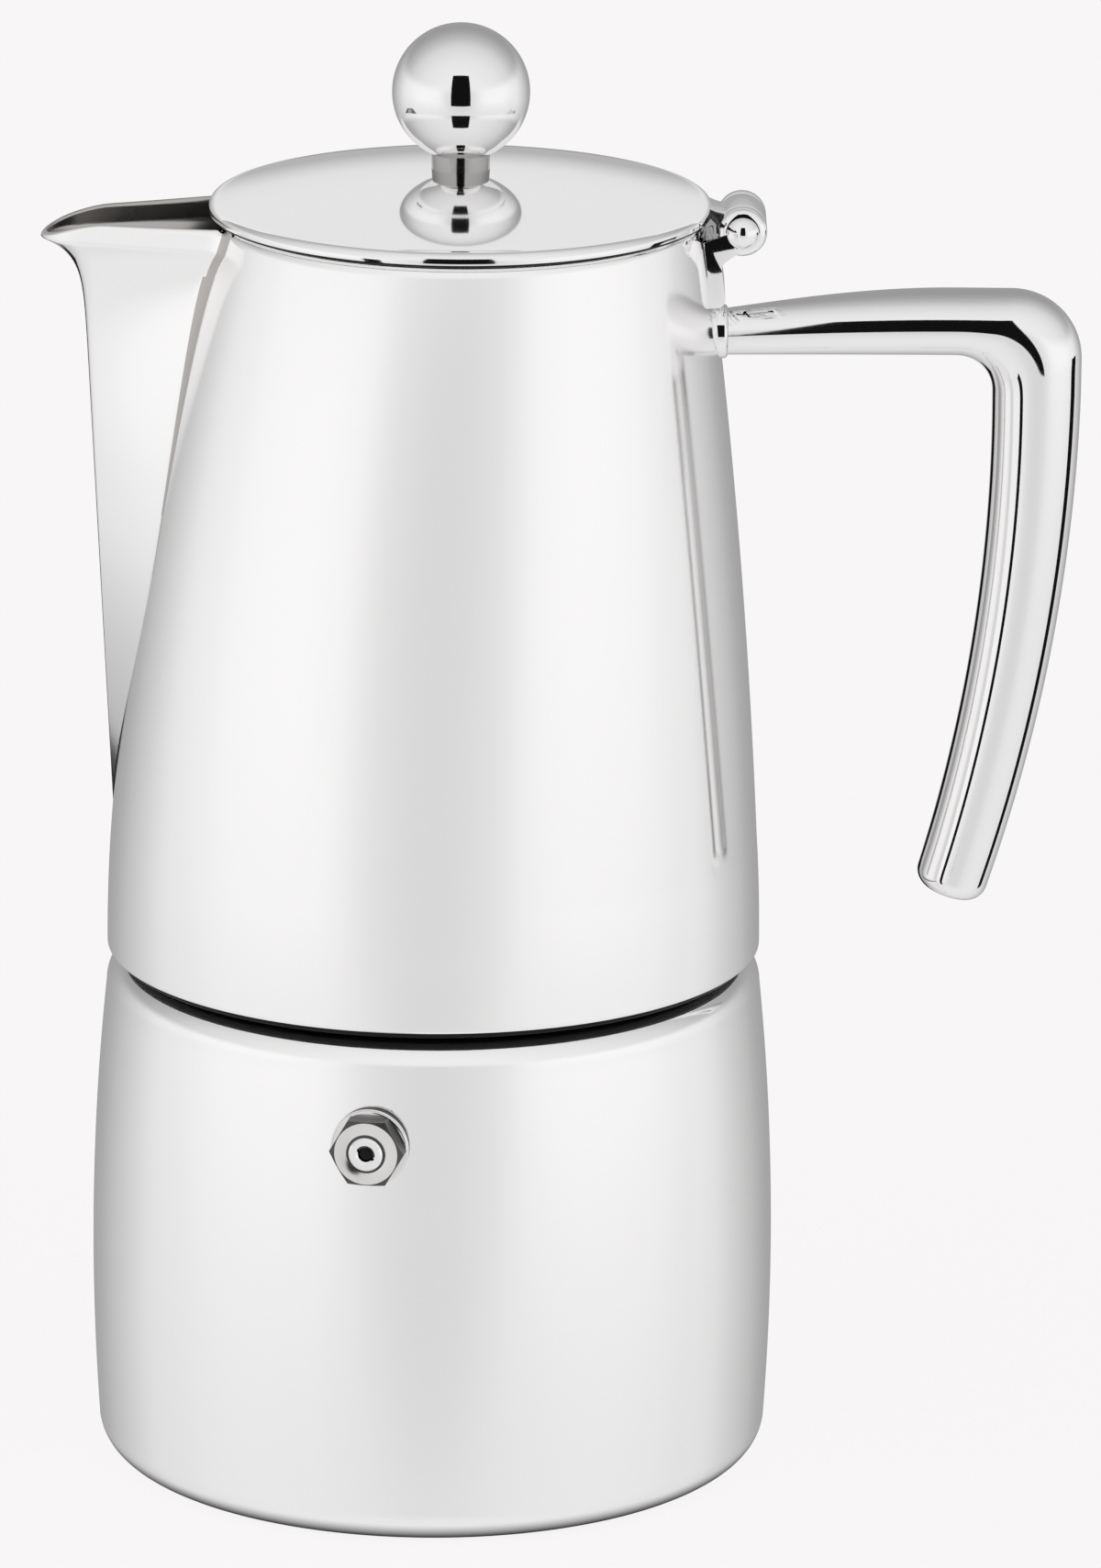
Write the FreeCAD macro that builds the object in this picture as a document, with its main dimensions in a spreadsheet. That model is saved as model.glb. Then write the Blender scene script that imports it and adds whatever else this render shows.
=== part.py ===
import FreeCAD, Part
import math
import os

import Sketcher

# Stove-top moka pot in polished steel, as the separate pieces that it is made of.
# Millimetres, +Z up. The origin is the middle of the boiler's underside.
# +X points to the handle and -X to the spout.

SIZES = (
    ("boiler_radius", 50.0, "largest radius of the boiler"),
    ("boiler_belly_height", 30.0, "height of the largest radius"),
    ("boiler_side_curve", 390.0, "radius of the boiler's side seen from the front"),
    ("boiler_height", 75.5, "height of the boiler's flat top"),
    ("boiler_foot_fillet", 5.0, "rounding at the foot"),
    ("boiler_shoulder_fillet", 4.5, "rounding at the shoulder"),
    ("boiler_wall", 1.2, "boiler wall"),
    ("boiler_floor", 2.0, "boiler floor"),
    ("neck_radius", 42.5, "outside of the screwed neck"),
    ("neck_wall", 3.0, "wall of the screwed neck"),
    ("neck_length", 10.4, "neck above the boiler's top"),
    ("neck_chamfer", 0.6, "lead-in at the neck's mouth"),
    ("thread_clearance", 0.4, "radial room between neck and jug ring"),
    ("seat_gap", 0.1, "room between seated flat faces"),
    ("fit_clearance", 0.05, "radial room of a pin or stem in its bore"),
    ("valve_drop", 15.1, "valve's axis below the boiler's top"),
    ("valve_angle", 9.7, "degrees that the valve turns towards the spout"),
    ("valve_stand_off", 0.6, "room for the washer between wall and flange"),
    ("valve_flange_radius", 5.65, "valve flange"),
    ("valve_flange_thick", 0.9, "valve flange thickness"),
    ("valve_hex_flats", 9.4, "valve hexagon across flats"),
    ("valve_hex_length", 2.6, "valve hexagon length"),
    ("valve_boss_radius", 2.6, "ring around the vent"),
    ("valve_boss_length", 0.5, "height of the ring around the vent"),
    ("valve_shank_radius", 4.0, "screwed shank of the valve"),
    ("valve_shank_length", 7.4, "shank inside the flange"),
    ("valve_chamber_radius", 2.6, "spring chamber"),
    ("valve_vent_radius", 1.1, "vent bore"),
    ("valve_vent_length", 4.4, "length of the vent bore"),
    ("valve_seat_length", 1.2, "seat ring at the inner end"),
    ("valve_seat_bore", 1.2, "bore radius of the seat ring"),
    ("valve_disc_radius", 2.2, "sealing disc of the plunger"),
    ("valve_disc_thick", 1.0, "sealing disc thickness"),
    ("valve_stem_recess", 0.5, "stem tip below the vent's mouth"),
    ("valve_spring_wall", 0.55, "wire of the valve spring"),
    ("valve_nut_flats", 12.0, "lock nut across flats"),
    ("valve_nut_thick", 2.8, "lock nut thickness"),
    ("valve_nut_set_in", 1.1, "lock nut face inside the wall"),
    ("sheet_wall", 0.9, "sheet of the funnel"),
    ("basket_radius", 37.5, "outside of the coffee basket"),
    ("basket_depth", 22.0, "basket below its rim"),
    ("basket_rim_reach", 42.0, "radius of the basket's rim"),
    ("stem_radius", 6.0, "outside of the funnel's stem"),
    ("stem_floor_gap", 4.0, "stem end above the boiler's floor"),
    ("stem_cone_radius", 12.0, "top radius of the stem's cone"),
    ("stem_cone_length", 7.0, "length of the stem's cone"),
    ("sieve_thick", 0.7, "thickness of both sieves"),
    ("sieve_hole_radius", 0.9, "sieve holes"),
    ("sieve_ring_step", 7.5, "step between the rings of holes"),
    ("sieve_rim", 0.4, "room around the funnel's sieve"),
    ("gasket_bore", 35.0, "inner radius of the gasket"),
    ("gasket_room", 0.6, "room between gasket and jug ring"),
    ("gasket_thick", 3.0, "gasket thickness"),
    ("plate_rim", 0.8, "filter plate smaller than the gasket"),
    ("waist_gap", 0.5, "gap between boiler and jug"),
    ("jug_radius", 47.7, "largest radius of the jug"),
    ("jug_foot_fillet", 1.6, "rounding at the jug's lower edge"),
    ("jug_skirt_height", 17.6, "upright skirt of the jug"),
    ("jug_skirt_curve", 233.0, "radius of the skirt seen from the front"),
    ("jug_height", 109.7, "jug from its lower edge to its rim"),
    ("jug_rim_radius", 35.2, "radius of the jug's rim"),
    ("jug_rim_shift", 3.5, "rim's middle behind the boiler's axis"),
    ("jug_bulge", 1.6, "how far the side stands out at mid height"),
    ("jug_wall", 1.2, "jug wall"),
    ("jug_lip", 3.0, "width of the inturned lower edge"),
    ("jug_floor_land", 34.0, "inner radius of the floor's flat ring"),
    ("jug_floor_rise", 3.3, "dome of the jug's floor"),
    ("jug_floor_room", 0.4, "room between floor and wall"),
    ("ring_wall", 1.8, "wall of the screwed ring in the jug"),
    ("ring_flange", 3.0, "height of the ring's flange"),
    ("riser_foot_radius", 9.4, "riser at its foot"),
    ("riser_top_radius", 7.0, "riser at its top"),
    ("riser_wall", 1.3, "riser wall"),
    ("riser_length", 57.0, "riser above the jug's floor"),
    ("cap_overlap", 4.0, "cap skirt over the riser"),
    ("cap_wall", 1.0, "cap wall"),
    ("cap_height", 8.0, "cap above the riser"),
    ("cap_window_width", 6.0, "outlet window width"),
    ("cap_window_height", 3.0, "outlet window height"),
    ("spout_foot_rise", 2.0, "spout's lower end above the skirt"),
    ("spout_foot_sink", 0.4, "spout ridge inside the wall at its foot"),
    ("spout_lip_drop", 3.5, "spout's tip below the rim"),
    ("spout_lean", 4.3, "how far the ridge leans out below the lip"),
    ("spout_flare", 5.8, "how far the lip flares out"),
    ("spout_flare_length", 2.6, "height over which the flare fades"),
    ("spout_foot_angle", 72.0, "half angle of the spout at its foot"),
    ("spout_lip_angle", 15.0, "half angle of the spout at its lip"),
    ("spout_ridge_radius", 1.7, "rounding of the ridge"),
    ("spout_prow_radius", 6.5, "rounding of the lip"),
    ("spout_prow_length", 8.0, "height over which the lip rounds"),
    ("spout_wall", 1.0, "spout wall"),
    ("spout_root", 6.0, "how far the spout's flanks run on inside the jug"),
    ("spout_mouth_drop", 0.9, "mouth edge below the rim"),
    ("spout_dip_start", 9.5, "length of the lip that dips"),
    ("lid_gap", 0.3, "room between lid and rim"),
    ("lid_overhang", 1.0, "lid past the rim"),
    ("lid_edge", 0.7, "upright edge of the lid"),
    ("lid_bead", 1.4, "rounded edge of the lid"),
    ("lid_rise", 6.5, "lid from its edge to its crown"),
    ("lid_wall", 1.0, "lid sheet"),
    ("lid_seat", 3.2, "width of the lid's seat"),
    ("knob_radius", 9.9, "ball knob"),
    ("knob_neck_radius", 4.2, "neck of the knob"),
    ("knob_neck_length", 1.2, "neck between lid and ball"),
    ("knob_screw_radius", 2.0, "screw of the knob"),
    ("knob_screw_length", 8.0, "screw inside the knob"),
    ("knob_screw_head", 3.8, "head of the screw"),
    ("knob_screw_head_thick", 2.2, "head thickness"),
    ("knob_washer_radius", 5.0, "washer under the lid"),
    ("knob_washer_thick", 0.8, "washer thickness"),
    ("hinge_reach", 5.3, "hinge axis behind the rim"),
    ("hinge_drop", 1.1, "hinge axis below the rim"),
    ("hinge_radius", 3.1, "hinge barrel"),
    ("hinge_length", 14.0, "length of the barrel"),
    ("hinge_knuckle", 8.0, "length of the lid's knuckle"),
    ("hinge_gap", 0.3, "room beside the knuckle"),
    ("hinge_pin_radius", 1.3, "hinge pin"),
    ("hinge_head_radius", 2.9, "domed heads of the pin"),
    ("hinge_head_height", 1.8, "height of the domed heads"),
    ("tongue_thick", 0.5, "tongue above the lid's edge"),
    ("tongue_grip", 2.2, "tongue over the lid"),
    ("lug_strap_thick", 1.5, "strap in front of the wall"),
    ("lug_strap_drop", 11.0, "strap below the hinge axis to its lower end"),
    ("lug_strap_rounding", 1.2, "rounding at the strap's lower end"),
    ("handle_joint_drop", 17.1, "handle's root below the rim"),
    ("handle_root_height", 6.7, "handle height at its root"),
    ("handle_root_width", 7.2, "handle width at its root"),
    ("handle_collar_radius", 3.9, "collar at the root"),
    ("handle_collar_length", 1.2, "collar in front of the wall"),
    ("handle_top_rise", 6.4, "handle's top above its root"),
    ("handle_arm_thick", 9.4, "handle's arm from top to underside"),
    ("handle_stand_off", 45.5, "outside of the grip past the jug's largest radius"),
    ("handle_inner_corner", 5.5, "inside rounding of the bend"),
    ("handle_outer_corner", 10.0, "outside rounding of the bend"),
    ("grip_thick", 12.8, "grip at its top"),
    ("grip_width", 13.4, "grip from side to side"),
    ("grip_end_thick", 10.4, "grip at its end"),
    ("grip_end_width", 11.4, "width at its end"),
    ("grip_length", 75.3, "grip from the bend to its end"),
    ("grip_curve", 248.0, "radius of the grip seen from the side"),
    ("grip_end_rounding", 2.4, "rounding of the grip's end"),
)

SIEVE_RINGS = 4
HOLES_PER_RING = 8
ARM_STATIONS = 5
BEND_STATIONS = 6
GRIP_STATIONS = 7
GRIP_END_TURNS = (22, 44, 65, 84)
SECTION_POINTS = 20
SECTION_SQUARENESS = 2.1
JUG_STATIONS = 4
SPOUT_SLOPE_SHARES = (0.0, 0.15, 0.3, 0.45, 0.6, 0.72, 0.82, 0.89)
SPOUT_ANGLE_POWER = 1.6
SPOUT_LIP_SHARES = (0.93, 0.955, 0.975, 0.99, 1.0, 1.012, 1.024, 1.045)


class Size:
    """A number together with the sheet formula that gives it."""

    def __init__(self, value, text):
        self.value = value
        self.text = text

    def __add__(self, other):
        other = as_size(other)
        return Size(self.value + other.value, f"({self.text} + {other.text})")

    def __radd__(self, other):
        return as_size(other) + self

    def __sub__(self, other):
        other = as_size(other)
        return Size(self.value - other.value, f"({self.text} - {other.text})")

    def __rsub__(self, other):
        return as_size(other) - self

    def __mul__(self, other):
        other = as_size(other)
        return Size(self.value * other.value, f"({self.text} * {other.text})")

    def __rmul__(self, other):
        return as_size(other) * self

    def __truediv__(self, other):
        other = as_size(other)
        return Size(self.value / other.value, f"({self.text} / {other.text})")

    def __neg__(self):
        return Size(-self.value, f"(0 - {self.text})")


def as_size(number):
    return number if isinstance(number, Size) else Size(float(number), repr(float(number)))


def root(size):
    return Size(math.sqrt(size.value), f"sqrt({size.text})")


doc = FreeCAD.newDocument("MokaPot")
sheet = doc.addObject("Spreadsheet::Sheet", "Sizes")


class Sheet:
    """The driving sizes by name."""


def fill_sheet():
    for row, (alias, value, note) in enumerate(SIZES, start=1):
        sheet.set(f"A{row}", note)
        sheet.set(f"B{row}", str(value))
        sheet.setAlias(f"B{row}", alias)
    doc.recompute()
    for alias, value, note in SIZES:
        setattr(Sheet, alias, Size(float(getattr(sheet, alias)), f"Sizes.{alias}"))


fill_sheet()
s = Sheet


# Heights and radii that several pieces share

neck_top = s.boiler_height + s.neck_length
neck_bore = s.neck_radius - s.neck_wall
basket_floor = neck_top - s.basket_depth
gasket_bottom = neck_top + s.sheet_wall + s.seat_gap
gasket_top = gasket_bottom + s.gasket_thick
plate_top = gasket_top + s.sieve_thick
floor_bottom = plate_top + s.seat_gap
floor_top = floor_bottom + s.jug_wall
riser_foot = floor_top + s.jug_floor_rise
riser_top = riser_foot + s.riser_length
ring_bore = s.neck_radius + s.thread_clearance
gasket_radius = ring_bore - s.gasket_room
jug_bottom = s.boiler_height + s.waist_gap
jug_skirt_top = jug_bottom + s.jug_skirt_height
jug_rim = jug_bottom + s.jug_height
skirt_arc_foot = jug_bottom + s.jug_foot_fillet
skirt_drop = s.jug_skirt_curve - root(
    s.jug_skirt_curve * s.jug_skirt_curve
    - (jug_skirt_top - skirt_arc_foot) * (jug_skirt_top - skirt_arc_foot)
)
skirt_radius = s.jug_radius - skirt_drop
lid_radius = s.jug_rim_radius + s.lid_overhang
lid_bottom = jug_rim + s.lid_gap
lid_crown = lid_bottom + s.lid_rise
hinge_x = s.jug_rim_shift + s.jug_rim_radius + s.hinge_reach
hinge_z = jug_rim - s.hinge_drop
valve_z = s.boiler_height - s.valve_drop
spout_foot = jug_skirt_top + s.spout_foot_rise
spout_lip = jug_rim - s.spout_lip_drop
handle_joint = jug_rim - s.handle_joint_drop
handle_top = handle_joint + s.handle_top_rise
handle_under = handle_top - s.handle_arm_thick
handle_reach = s.jug_radius + s.handle_stand_off
bend_x = handle_reach - s.grip_thick - s.handle_inner_corner
bend_z = handle_under - s.handle_inner_corner
grip_end = bend_z - s.grip_length


def boiler_side(height):
    """Radius of the boiler's side at a height."""
    rise = height - s.boiler_belly_height
    return s.boiler_radius - s.boiler_side_curve + root(
        s.boiler_side_curve * s.boiler_side_curve - rise * rise
    )


# Drawing helpers

def bind(thing, name, size):
    thing.setExpression(name, as_size(size).text)


def place(thing, x=0, y=0, z=0, turn=(0, 0, 0)):
    """Put a piece at x, y, z, turned by yaw, pitch and roll in degrees."""
    spot = "; ".join(as_size(value).text for value in (x, y, z))
    angles = "; ".join(as_size(value).text for value in turn)
    thing.setExpression("Placement", f"placement(vector({spot}); rotation({angles}))")
    return thing


def origin_plane(body, role):
    return next(plane for plane in body.Origin.OriginFeatures if plane.Role == role)


def sketch_on(body, role, name):
    sketch = body.newObject("Sketcher::SketchObject", name)
    sketch.AttachmentSupport = [(origin_plane(body, role), "")]
    sketch.MapMode = "FlatFace"
    return sketch


def fix_point(sketch, piece, end, x, y):
    """Tie one point of a sketch to coordinates that the sheet gives."""
    for kind, axis, size in (("DistanceX", -2, x), ("DistanceY", -1, y)):
        if size.value == 0:
            sketch.addConstraint(Sketcher.Constraint("PointOnObject", piece, end, axis))
            continue
        index = sketch.addConstraint(Sketcher.Constraint(kind, -1, 1, piece, end, size.value))
        sketch.setExpression(f"Constraints[{index}]", size.text)


def arc_between(start, end, radius):
    """Arc that turns anticlockwise from start to end."""
    middle = (start + end) / 2
    chord = end - start
    height = math.sqrt(radius * radius - (chord.Length / 2) ** 2)
    left = FreeCAD.Vector(-chord.y, chord.x, 0).normalize()
    centre = middle + left * height
    first = math.atan2(start.y - centre.y, start.x - centre.x)
    last = math.atan2(end.y - centre.y, end.x - centre.x)
    if last < first:
        last += 2 * math.pi
    circle = Part.Circle(centre, FreeCAD.Vector(0, 0, 1), radius)
    return Part.ArcOfCircle(circle, first, last)


def draw_outline(sketch, outline):
    """Closed anticlockwise outline; a third item bends the side that follows into an arc."""
    corners = [(as_size(corner[0]), as_size(corner[1])) for corner in outline]
    points = [FreeCAD.Vector(x.value, y.value, 0) for x, y in corners]
    pieces = []
    for index, corner in enumerate(outline):
        start = points[index]
        end = points[(index + 1) % len(points)]
        if len(corner) == 3:
            pieces.append(sketch.addGeometry(arc_between(start, end, as_size(corner[2]).value)))
        else:
            pieces.append(sketch.addGeometry(Part.LineSegment(start, end)))
    for index, piece in enumerate(pieces):
        following = pieces[(index + 1) % len(pieces)]
        sketch.addConstraint(Sketcher.Constraint("Coincident", piece, 2, following, 1))
    for index, corner in enumerate(outline):
        fix_point(sketch, pieces[index], 1, *corners[index])
        if len(corner) == 3:
            radius = as_size(corner[2])
            mark = sketch.addConstraint(Sketcher.Constraint("Radius", pieces[index], radius.value))
            sketch.setExpression(f"Constraints[{mark}]", radius.text)


def turned(name, outline):
    """A body of revolution about Z from an outline of radius and height."""
    body = doc.addObject("PartDesign::Body", name)
    sketch = sketch_on(body, "XZ_Plane", f"{name}_profile")
    draw_outline(sketch, outline)
    turning = body.newObject("PartDesign::Revolution", f"{name}_turning")
    turning.Profile = sketch
    turning.ReferenceAxis = (sketch, ["V_Axis"])
    turning.Angle = 360
    return body


def ring(name, bore, radius, bottom, top):
    return turned(name, [(bore, bottom), (radius, bottom), (radius, top), (bore, top)])


def padded(name, outline, width):
    """A body drawn from the side and padded evenly to both sides of the XZ plane."""
    body = doc.addObject("PartDesign::Body", name)
    sketch = sketch_on(body, "XZ_Plane", f"{name}_profile")
    draw_outline(sketch, outline)
    pad = body.newObject("PartDesign::Pad", f"{name}_pad")
    pad.Profile = sketch
    pad.SideType = "Symmetric"
    bind(pad, "Length", width)
    return body


def cylinder(name, radius, height):
    rod = doc.addObject("Part::Cylinder", name)
    bind(rod, "Radius", radius)
    bind(rod, "Height", height)
    return rod


def box(name, length, width, height):
    block = doc.addObject("Part::Box", name)
    bind(block, "Length", length)
    bind(block, "Width", width)
    bind(block, "Height", height)
    return block


def hexagon(name, flats, height):
    prism = doc.addObject("Part::Prism", name)
    prism.Polygon = 6
    bind(prism, "Circumradius", flats / math.sqrt(3))
    bind(prism, "Height", height)
    return prism


def cut(name, base, *tools):
    result = base
    for index, tool in enumerate(tools):
        last = index == len(tools) - 1
        step = doc.addObject("Part::Cut", name if last else f"{name}_cut_{index + 1}")
        step.Base = result
        step.Tool = tool
        result = step
    return result


def fuse(name, *shapes):
    joined = doc.addObject("Part::MultiFuse", name)
    joined.Shapes = list(shapes)
    return joined


def loft(name, sections):
    skin = doc.addObject("Part::Loft", name)
    skin.Sections = sections
    skin.Solid = True
    return skin


def along_y(thing, x, z, length):
    """Lay a piece that was made along Z along Y, evenly about the XZ plane."""
    return place(thing, x, -(length / 2), z, (0, 0, -90))


def at_valve(thing, distance=0):
    """Point a piece's Z outwards along the valve's axis, at a distance from the boiler's axis."""
    flat = f"{as_size(distance).text}"
    angle = s.valve_angle.text
    spot = f"vector(0 - {flat} * sin({angle}); 0 - {flat} * cos({angle}); {valve_z.text})"
    thing.setExpression("Placement", f"placement({spot}; rotation(0 - {angle}; 0; 90))")
    return thing


# Boiler

foot_radius = boiler_side(s.boiler_foot_fillet)
shoulder_height = s.boiler_height - s.boiler_shoulder_fillet
shoulder_radius = boiler_side(shoulder_height)
inner_foot = s.boiler_foot_fillet - s.boiler_floor


def boiler_blank():
    return turned("boiler_blank", [
        (0, 0),
        (foot_radius - s.boiler_foot_fillet, 0, s.boiler_foot_fillet),
        (foot_radius, s.boiler_foot_fillet, s.boiler_side_curve),
        (shoulder_radius, shoulder_height, s.boiler_shoulder_fillet),
        (shoulder_radius - s.boiler_shoulder_fillet, s.boiler_height),
        (0, s.boiler_height),
    ])


def boiler_hollow():
    return turned("boiler_hollow", [
        (0, s.boiler_floor),
        (foot_radius - s.boiler_wall - inner_foot, s.boiler_floor, inner_foot),
        (foot_radius - s.boiler_wall, s.boiler_foot_fillet, s.boiler_side_curve - s.boiler_wall),
        (shoulder_radius - s.boiler_wall, shoulder_height, s.boiler_shoulder_fillet - s.boiler_wall),
        (shoulder_radius - s.boiler_shoulder_fillet, s.boiler_height - s.boiler_wall),
        (neck_bore, s.boiler_height - s.boiler_wall),
        (neck_bore, s.boiler_height),
        (0, s.boiler_height),
    ])


def boiler_neck():
    return turned("boiler_neck", [
        (neck_bore, s.boiler_height),
        (s.neck_radius, s.boiler_height),
        (s.neck_radius, neck_top - s.neck_chamfer),
        (s.neck_radius - s.neck_chamfer, neck_top),
        (neck_bore, neck_top),
    ])


boiler_solid = boiler_blank()
shank_hole = at_valve(cylinder("shank_hole", s.valve_shank_radius + s.fit_clearance, s.boiler_radius))
boiler_shell = cut("boiler_shell", boiler_solid, boiler_hollow(), shank_hole)


# Safety valve, drawn along its own axis with Z as the distance from the boiler's axis

valve_wall = boiler_side(valve_z)
flange_back = valve_wall + s.valve_stand_off
flange_front = flange_back + s.valve_flange_thick
hex_front = flange_front + s.valve_hex_length
valve_front = hex_front + s.valve_boss_length
valve_back = flange_back - s.valve_shank_length
seat_front = valve_back + s.valve_seat_length
vent_back = valve_front - s.valve_vent_length
disc_back = seat_front + s.fit_clearance
disc_front = disc_back + s.valve_disc_thick
stem_radius = s.valve_vent_radius - s.fit_clearance
spring_radius = s.valve_disc_radius


def valve_body():
    turning = turned("valve_turning", [
        (0, valve_back),
        (s.valve_shank_radius, valve_back),
        (s.valve_shank_radius, flange_back),
        (s.valve_flange_radius, flange_back),
        (s.valve_flange_radius, flange_front),
        (s.valve_boss_radius, flange_front),
        (s.valve_boss_radius, valve_front),
        (0, valve_front),
    ])
    hex_head = hexagon("valve_hexagon", s.valve_hex_flats, s.valve_hex_length)
    bore = turned("valve_bore", [
        (0, valve_back),
        (s.valve_chamber_radius, valve_back),
        (s.valve_chamber_radius, vent_back),
        (s.valve_vent_radius, vent_back),
        (s.valve_vent_radius, valve_front),
        (0, valve_front),
    ])
    at_valve(turning)
    at_valve(hex_head, flange_front)
    at_valve(bore)
    return cut("valve_body", fuse("valve_outside", turning, hex_head), bore)


def valve_washer():
    deep = s.valve_flange_radius
    blank = at_valve(ring(
        "valve_washer_blank",
        s.valve_shank_radius + s.fit_clearance,
        s.valve_flange_radius,
        flange_back - deep,
        flange_back,
    ))
    return cut("valve_washer", blank, boiler_solid)


def valve_nut():
    nut_back = valve_wall - s.boiler_wall - s.valve_nut_set_in - s.valve_nut_thick
    blank = at_valve(hexagon("valve_nut_blank", s.valve_nut_flats, s.valve_nut_thick), nut_back)
    bore = at_valve(cylinder("valve_nut_bore", s.valve_shank_radius + s.fit_clearance, valve_front))
    return cut("valve_nut", blank, bore)


def valve_seat():
    return at_valve(ring("valve_seat", s.valve_seat_bore, s.valve_chamber_radius, valve_back, seat_front))


def valve_plunger():
    return at_valve(turned("valve_plunger", [
        (0, disc_back),
        (s.valve_disc_radius, disc_back),
        (s.valve_disc_radius, disc_front),
        (stem_radius, disc_front),
        (stem_radius, valve_front - s.valve_stem_recess),
        (0, valve_front - s.valve_stem_recess),
    ]))


def valve_spring():
    return at_valve(ring(
        "valve_spring",
        spring_radius - s.valve_spring_wall,
        spring_radius,
        disc_front + s.fit_clearance,
        vent_back,
    ))


# Funnel

def funnel_basket():
    inside = s.basket_radius - s.sheet_wall
    mouth = s.stem_cone_radius - s.sheet_wall
    return turned("funnel_basket", [
        (mouth, basket_floor),
        (s.basket_radius, basket_floor),
        (s.basket_radius, neck_top),
        (s.basket_rim_reach, neck_top),
        (s.basket_rim_reach, neck_top + s.sheet_wall),
        (inside, neck_top + s.sheet_wall),
        (inside, basket_floor + s.sheet_wall),
        (mouth, basket_floor + s.sheet_wall),
    ])


def funnel_stem():
    inside = s.stem_radius - s.sheet_wall
    lower_end = s.boiler_floor + s.stem_floor_gap
    cone_foot = basket_floor - s.stem_cone_length
    return turned("funnel_stem", [
        (inside, lower_end),
        (s.stem_radius, lower_end),
        (s.stem_radius, cone_foot),
        (s.stem_cone_radius, basket_floor),
        (s.stem_cone_radius - s.sheet_wall, basket_floor),
        (inside, cone_foot + s.sheet_wall / 2),
    ])


def sieve(name, radius, bottom):
    """A flat disc with rings of holes about one in the middle."""
    body = turned(name, [
        (0, bottom),
        (radius, bottom),
        (radius, bottom + s.sieve_thick),
        (0, bottom + s.sieve_thick),
    ])
    for ring_index in range(SIEVE_RINGS + 1):
        sketch = sketch_on(body, "XY_Plane", f"{name}_hole_{ring_index}")
        hole = Part.Circle(FreeCAD.Vector(1, 0, 0), FreeCAD.Vector(0, 0, 1), s.sieve_hole_radius.value)
        sketch.addGeometry(hole)
        size_mark = sketch.addConstraint(Sketcher.Constraint("Radius", 0, s.sieve_hole_radius.value))
        sketch.setExpression(f"Constraints[{size_mark}]", s.sieve_hole_radius.text)
        fix_point(sketch, 0, 3, s.sieve_ring_step * ring_index, as_size(0))
        pocket = body.newObject("PartDesign::Pocket", f"{name}_pocket_{ring_index}")
        pocket.Profile = sketch
        pocket.Type = "ThroughAll"
        pocket.Reversed = True
        doc.recompute()
        if ring_index == 0:
            continue
        pattern = body.newObject("PartDesign::PolarPattern", f"{name}_ring_{ring_index}")
        pattern.Originals = [pocket]
        pattern.Axis = (sketch, ["N_Axis"])
        pattern.Angle = 360
        pattern.Occurrences = HOLES_PER_RING * ring_index
        body.Tip = pattern
        doc.recompute()
    return body


def funnel_sieve():
    room = s.basket_radius - s.sheet_wall - s.sieve_rim
    return sieve("funnel_sieve", room, basket_floor + s.sheet_wall)


def filter_plate():
    return sieve("filter_plate", gasket_radius - s.plate_rim, gasket_top)


def gasket():
    return ring("gasket", s.gasket_bore, gasket_radius, gasket_bottom, gasket_top)


# Jug: an upright skirt, and above it round sections whose middles move back towards the rim

def jug_share(share):
    """Height, shift and radius of the jug's outside at a share of the height above its skirt."""
    height = jug_skirt_top + (jug_rim - jug_skirt_top) * share
    shift = s.jug_rim_shift * (0.3 * share + 0.7 * share * share)
    bulge = s.jug_bulge * (4 * share * (1 - share))
    radius = skirt_radius + (s.jug_rim_radius - skirt_radius) * share + bulge
    return height, shift, radius


def jug_loft(name, inset, last_share):
    sections = []
    for index in range(JUG_STATIONS + 1):
        height, shift, radius = jug_share(last_share * index / JUG_STATIONS)
        circle = doc.addObject("Part::Circle", f"{name}_section_{index}")
        bind(circle, "Radius", radius - inset)
        place(circle, shift, 0, height)
        sections.append(circle)
    return loft(name, sections)


def skirt_outline(inset, bottom):
    """Outline of the skirt's outside, or of its inside when it is set in by the wall."""
    fillet = s.jug_foot_fillet - inset
    side = s.jug_radius - inset
    return [
        (0, bottom),
        (side - fillet, bottom, fillet),
        (side, skirt_arc_foot, s.jug_skirt_curve - inset),
        (skirt_radius - inset, jug_skirt_top),
        (0, jug_skirt_top),
    ]


def jug_blank():
    skirt = turned("jug_skirt_blank", skirt_outline(as_size(0), jug_bottom))
    return fuse("jug_blank", skirt, jug_loft("jug_side_blank", as_size(0), 1.0))


def jug_hollow():
    skirt = turned("jug_skirt_hollow", skirt_outline(s.jug_wall, jug_bottom + s.jug_wall))
    mouth_radius = s.jug_radius - s.jug_foot_fillet - s.jug_lip
    mouth = cylinder("jug_lower_mouth", mouth_radius, s.jug_skirt_height)
    place(mouth, 0, 0, jug_bottom)
    past_rim = 1.03
    return fuse("jug_hollow", skirt, jug_loft("jug_side_hollow", s.jug_wall, past_rim), mouth)


# Spout: level sections, each a rounded ridge with two straight flanks

def distance_to_wall(start, angle):
    """How far a level line runs from its start at an angle to X until it enters the jug."""
    share = (start.z - jug_skirt_top.value) / (jug_rim.value - jug_skirt_top.value)
    shift, radius = (size.value for size in jug_share(share)[1:])
    x = start.x - shift
    middle = x * math.cos(angle) + start.y * math.sin(angle)
    square = middle * middle - x * x - start.y * start.y + radius * radius
    return max(-middle - math.sqrt(max(square, 0.0)), 0.0)


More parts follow.
